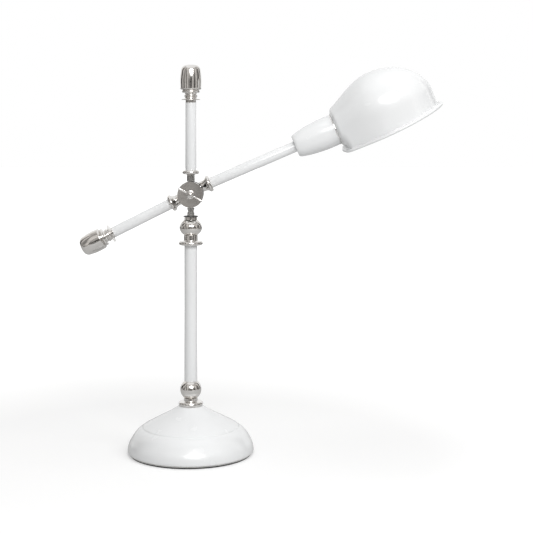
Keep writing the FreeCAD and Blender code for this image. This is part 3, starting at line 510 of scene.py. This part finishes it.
FINISHES = {
    "white_enamel": Enamel(),
    "chrome": Plating(),
    "zinc_steel": Metal("zinc_steel", (0.66, 0.66, 0.64), (0.52, 0.52, 0.51), (0.18, 0.3)),
    "ballast_iron": Metal("ballast_iron", (0.10, 0.097, 0.093), (0.055, 0.052, 0.05), (0.6, 0.8), 260.0, 0.0002, 0.7),
    "foot_rubber": Moulding("foot_rubber", (0.022, 0.022, 0.023), (0.05, 0.05, 0.05), (0.6, 0.8), 900.0, 0.00005),
    "black_nylon": Moulding("black_nylon", (0.016, 0.016, 0.017), (0.032, 0.032, 0.033)),
    "holder_resin": Moulding("holder_resin", (0.03, 0.021, 0.016), (0.06, 0.045, 0.036), (0.2, 0.32)),
    "block_plastic": Moulding("block_plastic", (0.78, 0.77, 0.73), (0.70, 0.69, 0.64)),
    "lead_jacket": Moulding("lead_jacket", (0.62, 0.60, 0.56), (0.52, 0.50, 0.46), (0.4, 0.55)),
    "brass": Metal("brass", (0.72, 0.53, 0.25), (0.55, 0.39, 0.17), (0.2, 0.34)),
    "cap_aluminium": Metal("cap_aluminium", (0.76, 0.76, 0.75), (0.62, 0.62, 0.61), (0.24, 0.36)),
    "opal_glass": OpalGlass(),
}


class Finishing:
    """Gives each piece its body, its slot and its finish, from the frame's record."""

    def __init__(self) -> None:
        """Read which body and slot each node has, and make the finishes."""
        record = frame["record"]
        self.body = {n: b for b, nodes in record["behaviour"]["bodies"].items() for n in nodes}
        self.slot = {part["node"]: part["material_slot"] for part in record["subparts"]}
        self.satin = SATIN.make()
        self.made = {slot: finish.make() for slot, finish in FINISHES.items()}

    def dress_frame(self) -> None:
        """Give every CAD node that stays the better finish of its slot."""
        for name, node in frame["nodes"].items():
            node.data.materials.clear()
            node.data.materials.append(self.made[self.slot[name]])

    def dress(self, piece: bpy.types.Object, *nodes: str, smooth: float = 32.0,
              finish: bpy.types.Material | None = None) -> bpy.types.Object:
        """Finish a piece that stands for CAD nodes.

        Args:
            piece: The new piece.
            nodes: The nodes it stands for; the first gives its body and slot.
            smooth: Largest angle in degrees between faces that shade as one.
            finish: A finish of its own, or None for its slot's.

        Returns:
            The piece.
        """
        only(piece)
        bpy.ops.object.shade_smooth_by_angle(angle=math.radians(smooth))
        piece.data.materials.clear()
        piece.data.materials.append(finish or self.made[self.slot[nodes[0]]])
        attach(piece, self.body[nodes[0]])
        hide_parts(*nodes)
        log.info("%s: %d faces on %s", piece.name, len(piece.data.polygons), self.body[nodes[0]])
        return piece


# ---- turned pieces ---------------------------------------------------------------------------------
@dataclass
class Turning:
    """One turned piece that stands for one CAD node."""

    node: str
    outline: Outline
    axis: Axis = Axis.UP
    along: float = 0.0
    closed: bool = True
    wall: float = 0.0
    soft: float = 0.35

    def build(self, name: str | None = None) -> bpy.types.Object:
        """The turned body at its place, with nothing on it yet."""
        line = trace(self.outline, self.soft, self.closed)
        return spun(name or f"{self.node}_turned", line, self.closed, PLACES.place(self.axis, self.along), self.wall)

    def dress(self, finishing: Finishing, finish: bpy.types.Material | None = None) -> bpy.types.Object:
        """Build the piece and finish it."""
        return finishing.dress(self.build(), self.node, finish=finish)


def plain_rod(name: str, radius: float, low: float, high: float, axis: Axis, along: float) -> bpy.types.Object:
    """A round cutter between two heights on an axis."""
    outline = [(0.0, low), (radius, low), (radius, high), (0.0, high)]
    return spun(name, outline, False, PLACES.place(axis, along), steps=72)


def ring(inner: float, outer: float, low: float, high: float) -> Outline:
    """The outline of a plain ring."""
    return [(inner, low), (outer, low), (outer, high), (inner, high)]


@dataclass
class Base:
    """Domed shell with its pad and the bush of the cord's inlet."""

    radius: float = 78.49
    wall: float = 1.2
    top: float = 59.3
    hole_height: float = 12.0

    def build(self, finishing: Finishing) -> None:
        """Build and finish the base's visible pieces."""
        outline = [(self.radius - 5.5, 3.5), (self.radius, 3.5), (self.radius, 6.0), ((77.2, 12.5), (73.7, 19.3)),
                   ((69.6, 25.6), (63.2, 31.6)), (60.4, 32.9), (59.3, 34.5), ((46.9, 41.3), (30.8, 49.6)),
                   ((22.3, 54.3), (15.2, self.top)), (5.3, self.top)]
        line = trace(outline, 0.9, False)
        shell = spun("base_shell_turned", line, False, PLACES.place(Axis.UP), self.wall, steps=160)
        hole = plain_rod("inlet_hole", 5.05, 60.0, 90.0, Axis.BACKWARDS, self.hole_height)
        combine(shell, hole, Cut.REMOVE)
        finishing.dress(shell, "base_shell", smooth=28.0)
        Turning("foot_pad", [(0.0, 0.0), (75.5, 0.0), (75.5, 2.0), (0.0, 2.0)], closed=False, soft=0.5).dress(finishing)
        bush = [(3.6, 71.0), (5.0, 71.0), (5.0, 76.9), (6.5, 76.9), (6.5, 80.0), (3.6, 80.0)]
        Turning("cord_gland", bush, Axis.BACKWARDS, self.hole_height, soft=0.5).dress(finishing)


@dataclass
class Post:
    """Fixed post: collar, ball, thick tube, flange and flattened ball."""

    rod_hole: float = 5.05
    stud_hole: float = 4.55
    tube: float = 8.0
    ball_radius: float = 14.1
    ball_semi: float = 11.55
    ball_low: float = 272.27
    ball_high: float = 291.295

    def flattened_ball(self) -> Outline:
        """The ball's side as points between its two seats."""
        middle = (self.ball_low + self.ball_high) / 2
        limit = math.asin((self.ball_high - middle) / self.ball_semi)
        angles = [limit * (i / 16 - 1) for i in range(1, 32)]
        return [(self.ball_radius * math.cos(a), middle + self.ball_semi * math.sin(a)) for a in angles]

    def build(self, finishing: Finishing) -> None:
        """Build and finish the post from the base up to the swivel."""
        h = self.rod_hole
        pieces = [
            Turning("foot_collar", [(h, 59.3), (13.6, 59.3), ((15.2, 61.95), (13.6, 64.6)), (10.1, 64.6),
                                    ((9.03, 65.13), (8.5, 66.2)), (8.5, 69.0), (h, 69.0)]),
            Turning("foot_ball", [(h, 69.0), (8.0, 69.0), ((13.15, 79.437), (8.0, 89.873)), (h, 89.873)], soft=0.2),
            Turning("lower_tube", ring(6.8, self.tube, 89.87, 259.87), soft=0.3),
            Turning("stem_flange", [(h, 259.87), (13.75, 259.87), ((15.15, 262.22), (13.75, 264.57)), (10.0, 264.57),
                                    ((9.067, 265.04), (8.6, 265.97)), (8.6, 272.27), (h, 272.27)]),
            Turning("stem_ball", [(h, 272.27), (8.0, 272.27), *self.flattened_ball(), (8.0, 291.295), (8.0, 295.095),
                                  (self.stud_hole, 295.095), (self.stud_hole, 281.345), (h, 281.345)], soft=0.3),
            Turning("swivel_washer", ring(self.stud_hole, 9.2, 295.095, 296.095), soft=0.25),
        ]
        for piece in pieces:
            piece.dress(finishing)


@dataclass
class Coupling:
    """Rounded ring between a stub and its tube."""

    hole: float = 5.05
    radius: float = 10.7
    length: float = 4.8
    edge: float = 1.5

    def outline(self, low: float) -> Outline:
        """The ring's outline from a height."""
        flat = self.radius - self.edge
        return [(self.hole, low), (flat, low), ((self.radius, low + self.length / 2), (flat, low + self.length)),
                (self.hole, low + self.length)]


@dataclass
class EndWeight:
    """Turned collar and rounded weight on a tube's end."""

    length: float
    stud_hole: float = 3.05
    brim: float = 11.7
    waist: float = 7.4
    cap: float = 13.4

    def collar(self) -> Outline:
        """Band, thin brim and waist with its bead."""
        return [(self.stud_hole, 0.0), (6.6, 0.0), (6.6, 3.0), (self.brim - 0.3, 3.3),
                ((self.brim, 3.8), (self.brim - 0.5, 4.2)), (8.2, 4.6), ((self.waist, 6.25), (7.9, 7.5)),
                ((8.4, 8.3), (7.9, 9.1)), ((7.2, 10.7), (7.8, 12.1)), (self.stud_hole, 12.1)]

    def weight(self) -> Outline:
        """Ring, rounded body and shallow dome."""
        top, cap = self.length, self.cap
        return [(0.0, 12.1), (9.6, 12.1), ((11.2, 14.05), (10.2, 15.6)), (11.4, 16.0),
                ((cap - 0.6, 16.9), (cap - 0.2, 18.6)), ((cap, (16.0 + top) / 2 - 1), (cap - 1.2, top - 6.5)),
                ((cap - 3.2, top - 2.6), (cap - 6.4, top - 0.7)), ((3.5, top - 0.174), (0.0, top))]

    def build(self, finishing: Finishing, collar: str, weight: str, axis: Axis, along: float) -> None:
        """Build and finish both pieces.

        Args:
            finishing: Gives the finishes.
            collar: The collar's node.
            weight: The weight's node.
            axis: The tube's axis.
            along: Where the tube ends on it, in mm.
        """
        Turning(collar, self.collar(), axis, along, soft=0.2).dress(finishing)
        Turning(weight, self.weight(), axis, along, closed=False, soft=0.2).dress(finishing)


@dataclass
class Knuckle:
    """Friction knuckle: fixed half, tilting half, washers, bolt and wing nut."""

    radius: float = 15.4
    half: float = 6.5
    neck: float = 6.9
    tilt_y: float = 14.05
    clear: float = 16.1
    wing: list = field(default_factory=lambda: [(4.4, 1.0), (5.6, 1.0), (13.0, 3.0), (16.2, 4.3), (17.0, 5.6),
                                                (16.7, 7.6), (15.4, 8.5), (12.6, 8.3), (9.0, 6.4), (4.4, 5.6)])
    wing_thickness: float = 1.6
    wing_angle: float = -29.0
    hex_flats: float = 13.0
    hex_length: float = 5.3

    def disc(self, name: str, place_y: float) -> bpy.types.Object:
        """One half's round body."""
        edge = 0.8
        outline = [(0.0, -self.half), (self.radius - edge, -self.half), (self.radius, edge - self.half),
                   (self.radius, self.half - edge), (self.radius - edge, self.half), (0.0, self.half)]
        return spun(name, trace(outline, 0.35, False), False, PLACES.place(Axis.ACROSS, place_y))

    def stub(self, name: str, radius: float, low: float, high: float, axis: Axis) -> bpy.types.Object:
        """A stub that flares towards its coupling."""
        outline = [(0.0, low), (radius, low), (radius, high - 5.5), ((radius + 0.4, high - 2.75), (radius + 2, high)),
                   (0.0, high)]
        return spun(name, trace(outline, 0.2, False), False, PLACES.place(axis))

    def faced(self, piece: bpy.types.Object, place_y: float, bore: float) -> bpy.types.Object:
        """Face a half flat on both sides round the bolt and bore it."""
        for low, high in ((-13.0, -self.half), (self.half, 13.0)):
            combine(piece, plain_rod("facing", self.clear, low, high, Axis.ACROSS, place_y), Cut.REMOVE)
        combine(piece, plain_rod("bore", bore, -14.0, 14.0, Axis.ACROSS, place_y), Cut.REMOVE)
        return piece

    def fixed_half(self, finishing: Finishing) -> None:
        """Swivel neck, disc and upper stub as one casting."""
        pivot = PLACES.pivot().z / MM
        low = 296.145
        neck = [(0.0, low), (9.7, low), ((10.3, low + 1.25), (9.7, low + 2.5)), (8.9, low + 2.5),
                ((7.3, low + 5.25), (self.neck, low + 8)), (self.neck, pivot), (0.0, pivot)]
        body = spun("post_knuckle_cast", trace(neck, 0.2, False), False, PLACES.place(Axis.UP))
        combine(body, self.stub("upper_stub", 6.5, pivot - 2, pivot + 24.9, Axis.UP), Cut.JOIN)
        combine(body, self.disc("fixed_disc", 0.0), Cut.JOIN)
        self.faced(body, 0.0, 4.05)
        combine(body, plain_rod("stud_bore", 4.55, low - 1, low + 10.3, Axis.UP, 0.0), Cut.REMOVE)
        finishing.dress(body, "post_knuckle", smooth=25.0)
        # The front face takes the darker turned face, whose colour paints a dark reflection
        body.data.materials.append(TurnedFace((0.0, 0.0, PLACES.pivot().z)).make())
        for face in body.data.polygons:
            if face.normal.y < -0.99 and abs(face.center.y + self.half * MM) < 0.0001:
                face.material_index = 1

    def tilting_half(self, finishing: Finishing) -> None:
        """Disc with a stub to each side, behind the fixed half."""
        body = self.disc("arm_knuckle_cast", self.tilt_y)
        combine(body, self.stub("front_stub", self.neck, -20.0, 0.0, Axis.FRONT_ARM), Cut.JOIN)
        combine(body, self.stub("rear_stub", self.neck, 3.0, 24.9, Axis.REAR_ARM), Cut.JOIN)
        self.faced(body, self.tilt_y, 5.55)
        finishing.dress(body, "arm_knuckle", smooth=25.0)

    def wing_blade(self, name: str, turn: float) -> bpy.types.Object:
        """One wing of the nut: its side drawn as a line, filled, drawn out to its thickness and rounded."""
        bpy.ops.object.select_all(action="DESELECT")
        bpy.ops.mesh.primitive_plane_add(size=MM, location=(0, 0, 0))
        blade = bpy.context.object
        blade.name = blade.data.name = name
        bpy.ops.object.mode_set(mode="EDIT")
        bpy.ops.mesh.select_all(action="SELECT")
        bpy.ops.mesh.merge(type="CENTER")
        run = [Vector((x * MM, -self.wing_thickness / 2 * MM, z * MM)) for x, z in self.wing]
        bpy.ops.transform.translate(value=run[0])
        for here, there in zip(run, run[1:]):
            bpy.ops.mesh.extrude_region_move(TRANSFORM_OT_translate={"value": there - here})
        bpy.ops.mesh.select_all(action="SELECT")
        bpy.ops.mesh.edge_face_add()
        bpy.ops.mesh.extrude_region_move(TRANSFORM_OT_translate={"value": (0, self.wing_thickness * MM, 0)})
        bpy.ops.mesh.select_all(action="SELECT")
        bpy.ops.mesh.normals_make_consistent(inside=False)
        bpy.ops.object.mode_set(mode="OBJECT")
        apply(blade, "BEVEL", width=0.35 * MM, segments=3, limit_method="ANGLE", angle_limit=math.radians(40))
        place = PLACES.place(Axis.ACROSS, -8.7) @ Matrix.Rotation(math.radians(self.wing_angle + turn), 4, "Z")
        blade.data.transform(place)
        return blade

    def wing_nut(self, finishing: Finishing) -> None:
        """Hub with two wings."""
        hub = Turning("wing_nut", [(4.05, 0.05), (5.6, 0.05), (4.9, 6.5), (4.05, 6.5)], Axis.ACROSS, -8.7, soft=0.4)
        nut = hub.build("wing_nut_forged")
        for turn in (0.0, 180.0):
            combine(nut, self.wing_blade("wing", turn), Cut.JOIN)
        finishing.dress(nut, "wing_nut", finish=finishing.satin)

    def bolt(self, finishing: Finishing) -> None:
        """Bolt with a hexagon head at the back and a rounded end in front."""
        shank = [(0.0, -2.0), (4.0, -2.0), (4.0, 36.4), ((2.0, 37.98), (0.0, 38.4))]
        body = spun("pivot_bolt_turned", trace(shank, 0.2, False), False, PLACES.place(Axis.ACROSS, 21.6))
        bpy.ops.object.select_all(action="DESELECT")
        bpy.ops.mesh.primitive_circle_add(vertices=6, radius=self.hex_flats / 2 / math.cos(math.pi / 6) * MM,
                                          fill_type="NGON", location=(0, 0, 0))
        head = bpy.context.object
        bpy.ops.object.mode_set(mode="EDIT")
        bpy.ops.mesh.select_all(action="SELECT")
        bpy.ops.mesh.extrude_region_move(TRANSFORM_OT_translate={"value": (0, 0, -self.hex_length * MM)})
        bpy.ops.mesh.select_all(action="SELECT")
        bpy.ops.mesh.normals_make_consistent(inside=False)
        bpy.ops.object.mode_set(mode="OBJECT")
        apply(head, "BEVEL", width=0.5 * MM, segments=3, limit_method="ANGLE", angle_limit=math.radians(40))
        head.data.transform(PLACES.place(Axis.ACROSS, 21.6))
        combine(body, head, Cut.JOIN)
        finishing.dress(body, "pivot_bolt")

    def build(self, finishing: Finishing) -> None:
        """Build and finish the knuckle's pieces."""
        self.fixed_half(finishing)
        self.tilting_half(finishing)
        dished = [(4.05, 0.0), (10.8, 0.0), (10.8, 0.95), ((8.9, 1.1), (6.9, 2.2)), (4.05, 2.2)]
        Turning("friction_washer", ring(4.05, 15.8, -1.0, 0.0), Axis.ACROSS, 6.5, soft=0.25).dress(finishing)
        Turning("rear_washer", ring(4.05, 9.0, 0.0, 1.0), Axis.ACROSS, 21.6, soft=0.25).dress(finishing)
        Turning("cup_washer", dished, Axis.ACROSS, -6.5, soft=0.25).dress(finishing)
        self.wing_nut(finishing)
        self.bolt(finishing)


@dataclass
class Arms:
    """Tubes of the post's head and of the arm, with their couplings and end weights."""

    tube: float = 6.75
    bore: float = 5.05
    stub_top: float = 348.245
    upper_length: float = 84.8
    rear_stub: float = 24.9
    rear_length: float = 79.6
    front_length: float = 116.0
    coupling: Coupling = field(default_factory=Coupling)

    def build(self, finishing: Finishing) -> None:
        """Build and finish tubes, couplings and weights."""
        step = self.coupling.length
        upper, rear = self.stub_top + step, self.rear_stub + step
        Turning("upper_coupling", self.coupling.outline(self.stub_top)).dress(finishing)
        Turning("upper_tube", ring(self.bore, self.tube, upper, upper + self.upper_length)).dress(finishing)
        Turning("rear_coupling", self.coupling.outline(self.rear_stub), Axis.REAR_ARM).dress(finishing)
        Turning("rear_tube", ring(self.bore, self.tube, rear, rear + self.rear_length), Axis.REAR_ARM).dress(finishing)
        Turning("front_coupling", self.coupling.outline(0.0), Axis.FRONT_ARM).dress(finishing)
        Turning("front_tube", ring(self.bore, self.tube, step, step + self.front_length),
                Axis.FRONT_ARM).dress(finishing)
        EndWeight(47.4).build(finishing, "finial_collar", "top_finial", Axis.UP, upper + self.upper_length)
        EndWeight(45.3).build(finishing, "weight_collar", "counterweight", Axis.REAR_ARM, rear + self.rear_length)


@dataclass
class Lampholder:
    """Cup, neck ring, the holder's skirt with its ring nut, and the bulb."""

    cup_wall: float = 1.2
    cup_side: list = field(default_factory=lambda: [(14.3, -53.4), (16.3, -46.4), (18.6, -31.2), (19.8, -14.1),
                                                    (19.7, -1.45)])

    def build(self, finishing: Finishing) -> None:
        """Build and finish the pieces about the lampholder."""
        side = flowing_line(self.cup_side, (0.38, 0.925), (-0.02, 1.0), 28)
        cup = [(5.05, -54.9), (13.0, -54.9), *side]
        Turning("socket_cup", cup, Axis.MOUTH, closed=False, wall=self.cup_wall, soft=0.6).dress(finishing)
        Turning("neck_ring", ring(17.25, 20.1, -1.4, -0.05), Axis.MOUTH, soft=0.45).dress(finishing, finishing.satin)
        Turning("holder_body", ring(14.05, 17.2, -28.0, 8.0), Axis.MOUTH, soft=0.5).dress(finishing)
        nut = [(17.25, 1.05), (19.0, 1.05), (21.0, 3.05), (21.0, 5.05), (17.25, 5.05)]
        Turning("shade_nut", nut, Axis.MOUTH, soft=0.4).dress(finishing)
        glass = [(12.4, -0.6), (12.4, 8.0), (14.74, 10.5), ((22.5, 27.5), (0.0, 50.0))]
        Turning("bulb_glass", glass, Axis.MOUTH, closed=False, wall=0.8, soft=1.2).dress(finishing)


@dataclass
class Shade:
    """Helmet shaped shade: half-turned crown, straight skirt, rounded throat, rolled rim."""

    wall: float = 1.0
    bore: float = 17.25
    neck: float = 19.7
    shoulder: Pair = (25.9, 3.0)
    side: list = field(default_factory=lambda: [(26.8, 4.6), (38.2, 26.9), (48.0, 51.7), (49.6, 71.0), (44.0, 96.5),
                                                (33.2, 113.8), (18.0, 126.6), (0.0, 131.4)])
    side_slope: float = 0.46
    mouth_drop: float = 28.4
    mouth_tilt: float = 2.6
    throat: float = 10.5
    depth: float = 40.0
    crown_steps: int = 56
    skirt_steps: int = 34
    wall_share: float = 0.56
    rim_out: float = 3.92
    bead: float = 1.9
    roll: float = 5.0

    def stations(self) -> list[tuple[float, float, float]]:
        """Radius, place along the arm and how square the lower half is, from the neck to the tip."""
        slope = math.hypot(self.side_slope, 1)
        side = flowing_line(self.side, (self.side_slope / slope, 1 / slope), (-1.0, 0.0), 84)
        radius, start = self.shoulder
        line = [(self.bore, 0.0), (self.neck - 0.5, 0.0), (self.neck + 0.3, 0.2), (22.8, 1.5), (radius - 0.3, 2.85),
                (radius + 0.25, 3.45), *side]
        made = []
        for r, z in line:
            share = min(max((z - start) / (self.throat - start), 0.0), 1.0)
            made.append((max(r, 0.0), z, share * share * (3 - 2 * share)))
        return made

    def section(self, radius: float, z: float, square: float) -> list[Vector]:
        """One closed section: half a circle above the arm, and below it a circle that turns into straight walls.

        Args:
            radius: The crown's radius in mm.
            z: Place along the arm in mm.
            square: 0 for a round lower half, 1 for straight walls.

        Returns:
            Points in metres, the first repeated at the end.
        """
        crown = [math.pi * i / self.crown_steps for i in range(self.crown_steps + 1)]
        points = [(-radius * math.sin(a), radius * math.cos(a)) for a in crown]
        corner = round(self.wall_share * self.skirt_steps)
        lower = []
        for j in range(1, self.skirt_steps + 1):
            angle = math.pi / 2 * j / self.skirt_steps
            if j <= corner:
                box = (self.depth * j / corner, radius)
            else:
                box = (self.depth, radius * (1 - (j - corner) / (self.skirt_steps - corner)))
            x = (1 - square) * radius * math.sin(angle) + square * box[0]
            y = (1 - square) * radius * math.cos(angle) + square * box[1]
            lower.append((x, y))
        points += [(x, -y) for x, y in lower] + lower[-2::-1] + points[:1]
        return [Vector((x, y, z)) * MM for x, y in points]

    def mouth_loop(self, piece: bpy.types.Object, level: float) -> list[Vector]:
        """The open edge at the mouth, in order.

        Args:
            piece: The cut skin.
            level: Height of the cut above the mouth's plane in mm.

        Returns:
            The edge's points in metres.
        """
        form = bmesh.new()
        form.from_mesh(piece.data)
        centre, normal = self.mouth_plane(level)
        edges = [e for e in form.edges if e.is_boundary
                 and all(abs((v.co - centre).dot(normal)) < 1e-5 for v in e.verts)]
        links: dict[int, list[int]] = {}
        for edge in edges:
            a, b = (v.index for v in edge.verts)
            links.setdefault(a, []).append(b)
            links.setdefault(b, []).append(a)
        form.verts.ensure_lookup_table()
        start = max(links, key=lambda i: form.verts[i].co.z)
        order, last = [start], None
        while True:
            following = [i for i in links[order[-1]] if i != last]
            last = order[-1]
            if not following or following[0] == start:
                break
            order.append(following[0])
        points = [form.verts[i].co.copy() for i in order]
        form.free()
        return points

    def mouth_plane(self, level: float) -> tuple[Vector, Vector]:
        """A point on the mouth's plane raised by level, and the plane's downward normal."""
        tilt = math.radians(self.mouth_tilt)
        return Vector((self.mouth_drop - level, 0, 0)) * MM, Vector((math.cos(tilt), 0, math.sin(tilt)))

    def rim_section(self) -> list[Pair]:
        """The rim's outer line as (outwards, below the mouth) pairs: fillet, flange and rolled bead."""
        line = [(0.0, -2.0), (0.12, -1.5), (0.45, -1.13), (1.0, -1.0), (1.75, -1.0)]
        start = 180 - math.degrees(math.asin(1.0 / self.bead))
        angles = [start + (-176 - start) * i / 22 for i in range(23)]
        return line + [(self.rim_out + self.bead * math.cos(math.radians(a)), -self.bead * math.sin(math.radians(a)))
                       for a in angles]

    def rim(self, loop: list[Vector]) -> bpy.types.Object:
        """Flange and bead swept along the mouth's edge.

        Args:
            loop: The skin's open edge.

        Returns:
            The rim, whose first row lies on that edge.
        """
        _, down = self.mouth_plane(0.0)
        middle = sum(loop, Vector()) / len(loop)
        section = self.rim_section()
        rows = []
        for i, point in enumerate(loop):
            tangent = (loop[(i + 1) % len(loop)] - loop[i - 1]).normalized()
            out = tangent.cross(down).normalized()
            if out.dot(point - middle) < 0:
                out.negate()
            rows.append([point + (out * o + down * (d - section[0][1])) * MM for o, d in section])
        return swept("rim", rows + rows[:1])

    def build(self, finishing: Finishing) -> None:
        """Build the shade's skin, cut its mouth, add its rim, give it its wall and finish it."""
        skin = swept("shade_pressed", [self.section(*station) for station in self.stations()])
        level = 2.0
        centre, normal = self.mouth_plane(level)
        only(skin)
        bpy.ops.object.mode_set(mode="EDIT")
        bpy.ops.mesh.select_all(action="SELECT")
        bpy.ops.mesh.remove_doubles(threshold=2e-6)
        bpy.ops.mesh.select_all(action="SELECT")
        bpy.ops.mesh.bisect(plane_co=centre, plane_no=normal, clear_outer=True, use_fill=False, threshold=1e-7)
        bpy.ops.mesh.select_all(action="SELECT")
        bpy.ops.mesh.remove_doubles(threshold=4e-6)
        bpy.ops.object.mode_set(mode="OBJECT")
        rim = self.rim(self.mouth_loop(skin, level))
        only(rim)
        skin.select_set(True)
        bpy.context.view_layer.objects.active = skin
        bpy.ops.object.join()
        bpy.ops.object.mode_set(mode="EDIT")
        bpy.ops.mesh.select_all(action="SELECT")
        bpy.ops.mesh.remove_doubles(threshold=5e-6)
        bpy.ops.mesh.normals_make_consistent(inside=False)
        bpy.ops.object.mode_set(mode="OBJECT")
        apply(skin, "SOLIDIFY", thickness=self.wall * MM, offset=-1.0, use_even_offset=True)
        skin.data.transform(PLACES.place(Axis.MOUTH) @ Matrix.Rotation(math.radians(self.roll), 4, "Z"))
        finishing.dress(skin, "shade", smooth=40.0)


# ---- studio ----------------------------------------------------------------------------------------
@dataclass
class Studio:
    """Plain pale floor, soft lamps, a dark wall behind the camera for the plating to mirror, and the camera."""

    camera_at: tuple = (0.0946, -1.675, 0.4409)
    focal: float = 90.5
    shift: float = -0.3124
    surround: float = 0.42
    floor_colour: tuple = (0.60, 0.60, 0.598)
    floor_glow: Pair = (0.40, 0.95)
    glow_reach: Pair = (0.3, 1.1)
    # The wall's colours and glow paint what the plating reflects
    wall_colours: tuple = ((0.012, 0.011, 0.010), (0.93, 0.90, 0.87))
    wall_glow: float = 0.34
    wall_radius: float = 2.4
    wall_height: float = 2.9
    wall_angle: float = 262.0
    dark_floor_from: float = 0.9

    def camera(self) -> None:
        """The camera at the photograph's viewing angle."""
        data = bpy.data.cameras.new("camera")
        data.lens, data.sensor_width, data.shift_y = self.focal, 36.0, self.shift
        camera = bpy.data.objects.new("camera", data)
        camera.location, camera.rotation_euler = self.camera_at, (math.radians(90), 0, 0)
        bpy.context.scene.collection.objects.link(camera)
        bpy.context.scene.camera = camera

    def lamp(self, name: str, at: tuple, size: Pair, power: float, mirrored: bool = True) -> None:
        """One soft lamp aimed at the middle of the object.

        Args:
            name: The lamp's name.
            at: Its place in metres.
            size: Width and height in metres.
            power: Power in watts.
            mirrored: Whether it shows in glossy surfaces.
        """
        data = bpy.data.lights.new(name, "AREA")
        data.shape, data.size, data.size_y, data.energy = "ELLIPSE", *size, power
        lamp = bpy.data.objects.new(name, data)
        lamp.visible_glossy = mirrored
        lamp.location = at
        lamp.rotation_euler = (Vector((0.08, 0, 0.28)) - Vector(at)).to_track_quat("-Z", "Y").to_euler()
        bpy.context.scene.collection.objects.link(lamp)

    def world(self) -> None:
        """White to the camera and to mirrors and glass, a plain level for everything else."""
        world = bpy.data.worlds.new("surround")
        bpy.context.scene.world = world
        world.use_nodes = True
        tree = world.node_tree
        light = tree.nodes["Background"]
        light.inputs["Strength"].default_value = self.surround
        light.inputs["Color"].default_value = (1, 1, 1, 1)
        seen = tree.nodes.new("ShaderNodeBackground")
        seen.inputs["Color"].default_value = (1, 1, 1, 1)
        rays = tree.nodes.new("ShaderNodeLightPath")
        total = rays.outputs["Is Camera Ray"]
        for name in ("Is Glossy Ray", "Is Transmission Ray"):
            both = tree.nodes.new("ShaderNodeMath")
            both.operation, both.use_clamp = "ADD", True
            tree.links.new(total, both.inputs[0])
            tree.links.new(rays.outputs[name], both.inputs[1])
            total = both.outputs["Value"]
        mix = tree.nodes.new("ShaderNodeMixShader")
        tree.links.new(total, mix.inputs[0])
        tree.links.new(light.outputs[0], mix.inputs[1])
        tree.links.new(seen.outputs[0], mix.inputs[2])
        tree.links.new(mix.outputs[0], tree.nodes["World Output"].inputs["Surface"])

    def floor(self) -> None:
        """A pale floor that stays white away from the object's shadow."""
        bpy.ops.object.select_all(action="DESELECT")
        bpy.ops.mesh.primitive_plane_add(size=14, location=(0, 0, 0))
        floor = bpy.context.object
        floor.name = "floor"
        graph = Graph("pale_floor")
        graph.shade(Base_Color=(*self.floor_colour, 1), Roughness=0.9, Specular_IOR_Level=0.1,
                    Emission_Color=(1, 1, 1, 1))
        rays = graph.add("LightPath")
        away = graph.add("VectorMath")
        away.operation = "LENGTH"
        graph.fill(away.inputs[0], graph.place)
        reach = graph.add("MapRange", Value=away.outputs["Value"])
        for key, value in zip(("From Min", "From Max", "To Min", "To Max"), (*self.glow_reach, *self.floor_glow)):
            reach.inputs[key].default_value = value
        glow = graph.add("Math")
        glow.operation = "MULTIPLY"
        graph.fill(glow.inputs[0], rays.outputs["Is Camera Ray"])
        graph.fill(glow.inputs[1], reach.outputs["Result"])
        graph.fill(graph.shader.inputs["Emission Strength"], glow.outputs["Value"])
        floor.data.materials.append(graph.material)

    def dark_wall(self) -> None:
        """The side of the room behind the camera: a sheet that glows in painted bands, lighter towards the top, seen
        only in the plating as painted reflection.
        """
        radius, height = self.wall_radius / MM, self.wall_height / MM
        line = [(self.dark_floor_from / MM, 12.0), (radius, 12.0), (radius, 0.4 * height), (radius, height),
                (0.75 * radius, height)]
        turn = Matrix.Rotation(math.radians(-90 + self.wall_angle / 2), 4, "Z")
        wall = spun("dark_wall", line, False, turn, steps=48, angle=self.wall_angle)
        graph = Graph("painted_reflection_wall")
        # Painted reflection: noise bands plus a rise towards the top, glowing by their own colour for the plating to
        # mirror
        bands = graph.between(graph.noise(2.6, 2.0, graph.stretched((1, 1, 0.15))), 0.12, 0.88)
        level = graph.add("MapRange", Value=graph.add("SeparateXYZ", Vector=graph.place).outputs["Z"])
        for key, value in zip(("From Min", "From Max", "To Min", "To Max"), (0.0, self.wall_height, -0.10, 0.14)):
            level.inputs[key].default_value = value
        both = graph.add("Math")
        both.operation = "ADD"
        graph.fill(both.inputs[0], bands)
        graph.fill(both.inputs[1], level.outputs["Result"])
        colour = graph.tint(both.outputs["Value"], *self.wall_colours)
        graph.shade(Base_Color=colour, Roughness=0.9, Specular_IOR_Level=0.0, Emission_Color=colour,
                    Emission_Strength=self.wall_glow)
        wall.data.materials.append(graph.material)
        wall.visible_camera = wall.visible_diffuse = wall.visible_shadow = wall.visible_transmission = False

    def build(self) -> None:
        """Set up the whole studio."""
        bpy.context.scene.view_settings.view_transform = "Standard"
        self.camera()
        self.world()
        self.floor()
        self.dark_wall()
        self.lamp("key", (0.35, -1.8, 1.3), (1.35, 0.9), 23.0)
        self.lamp("side", (1.3, -0.9, 1.4), (0.8, 0.8), 7.0, mirrored=False)
        self.lamp("top", (0.1, 0.1, 2.8), (1.6, 1.6), 16.0, mirrored=False)


def main() -> None:
    """Build the studio and every sub-assembly in order."""
    logging.basicConfig(level=logging.INFO, format="%(name)s: %(message)s", stream=sys.stdout)
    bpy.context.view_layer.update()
    Studio().build()
    finishing = Finishing()
    finishing.dress_frame()
    for part in (Base(), Post(), Knuckle(), Arms(), Lampholder(), Shade()):
        part.build(finishing)
        log.info("%s finished", type(part).__name__)


if __name__ == "__main__":
    main()
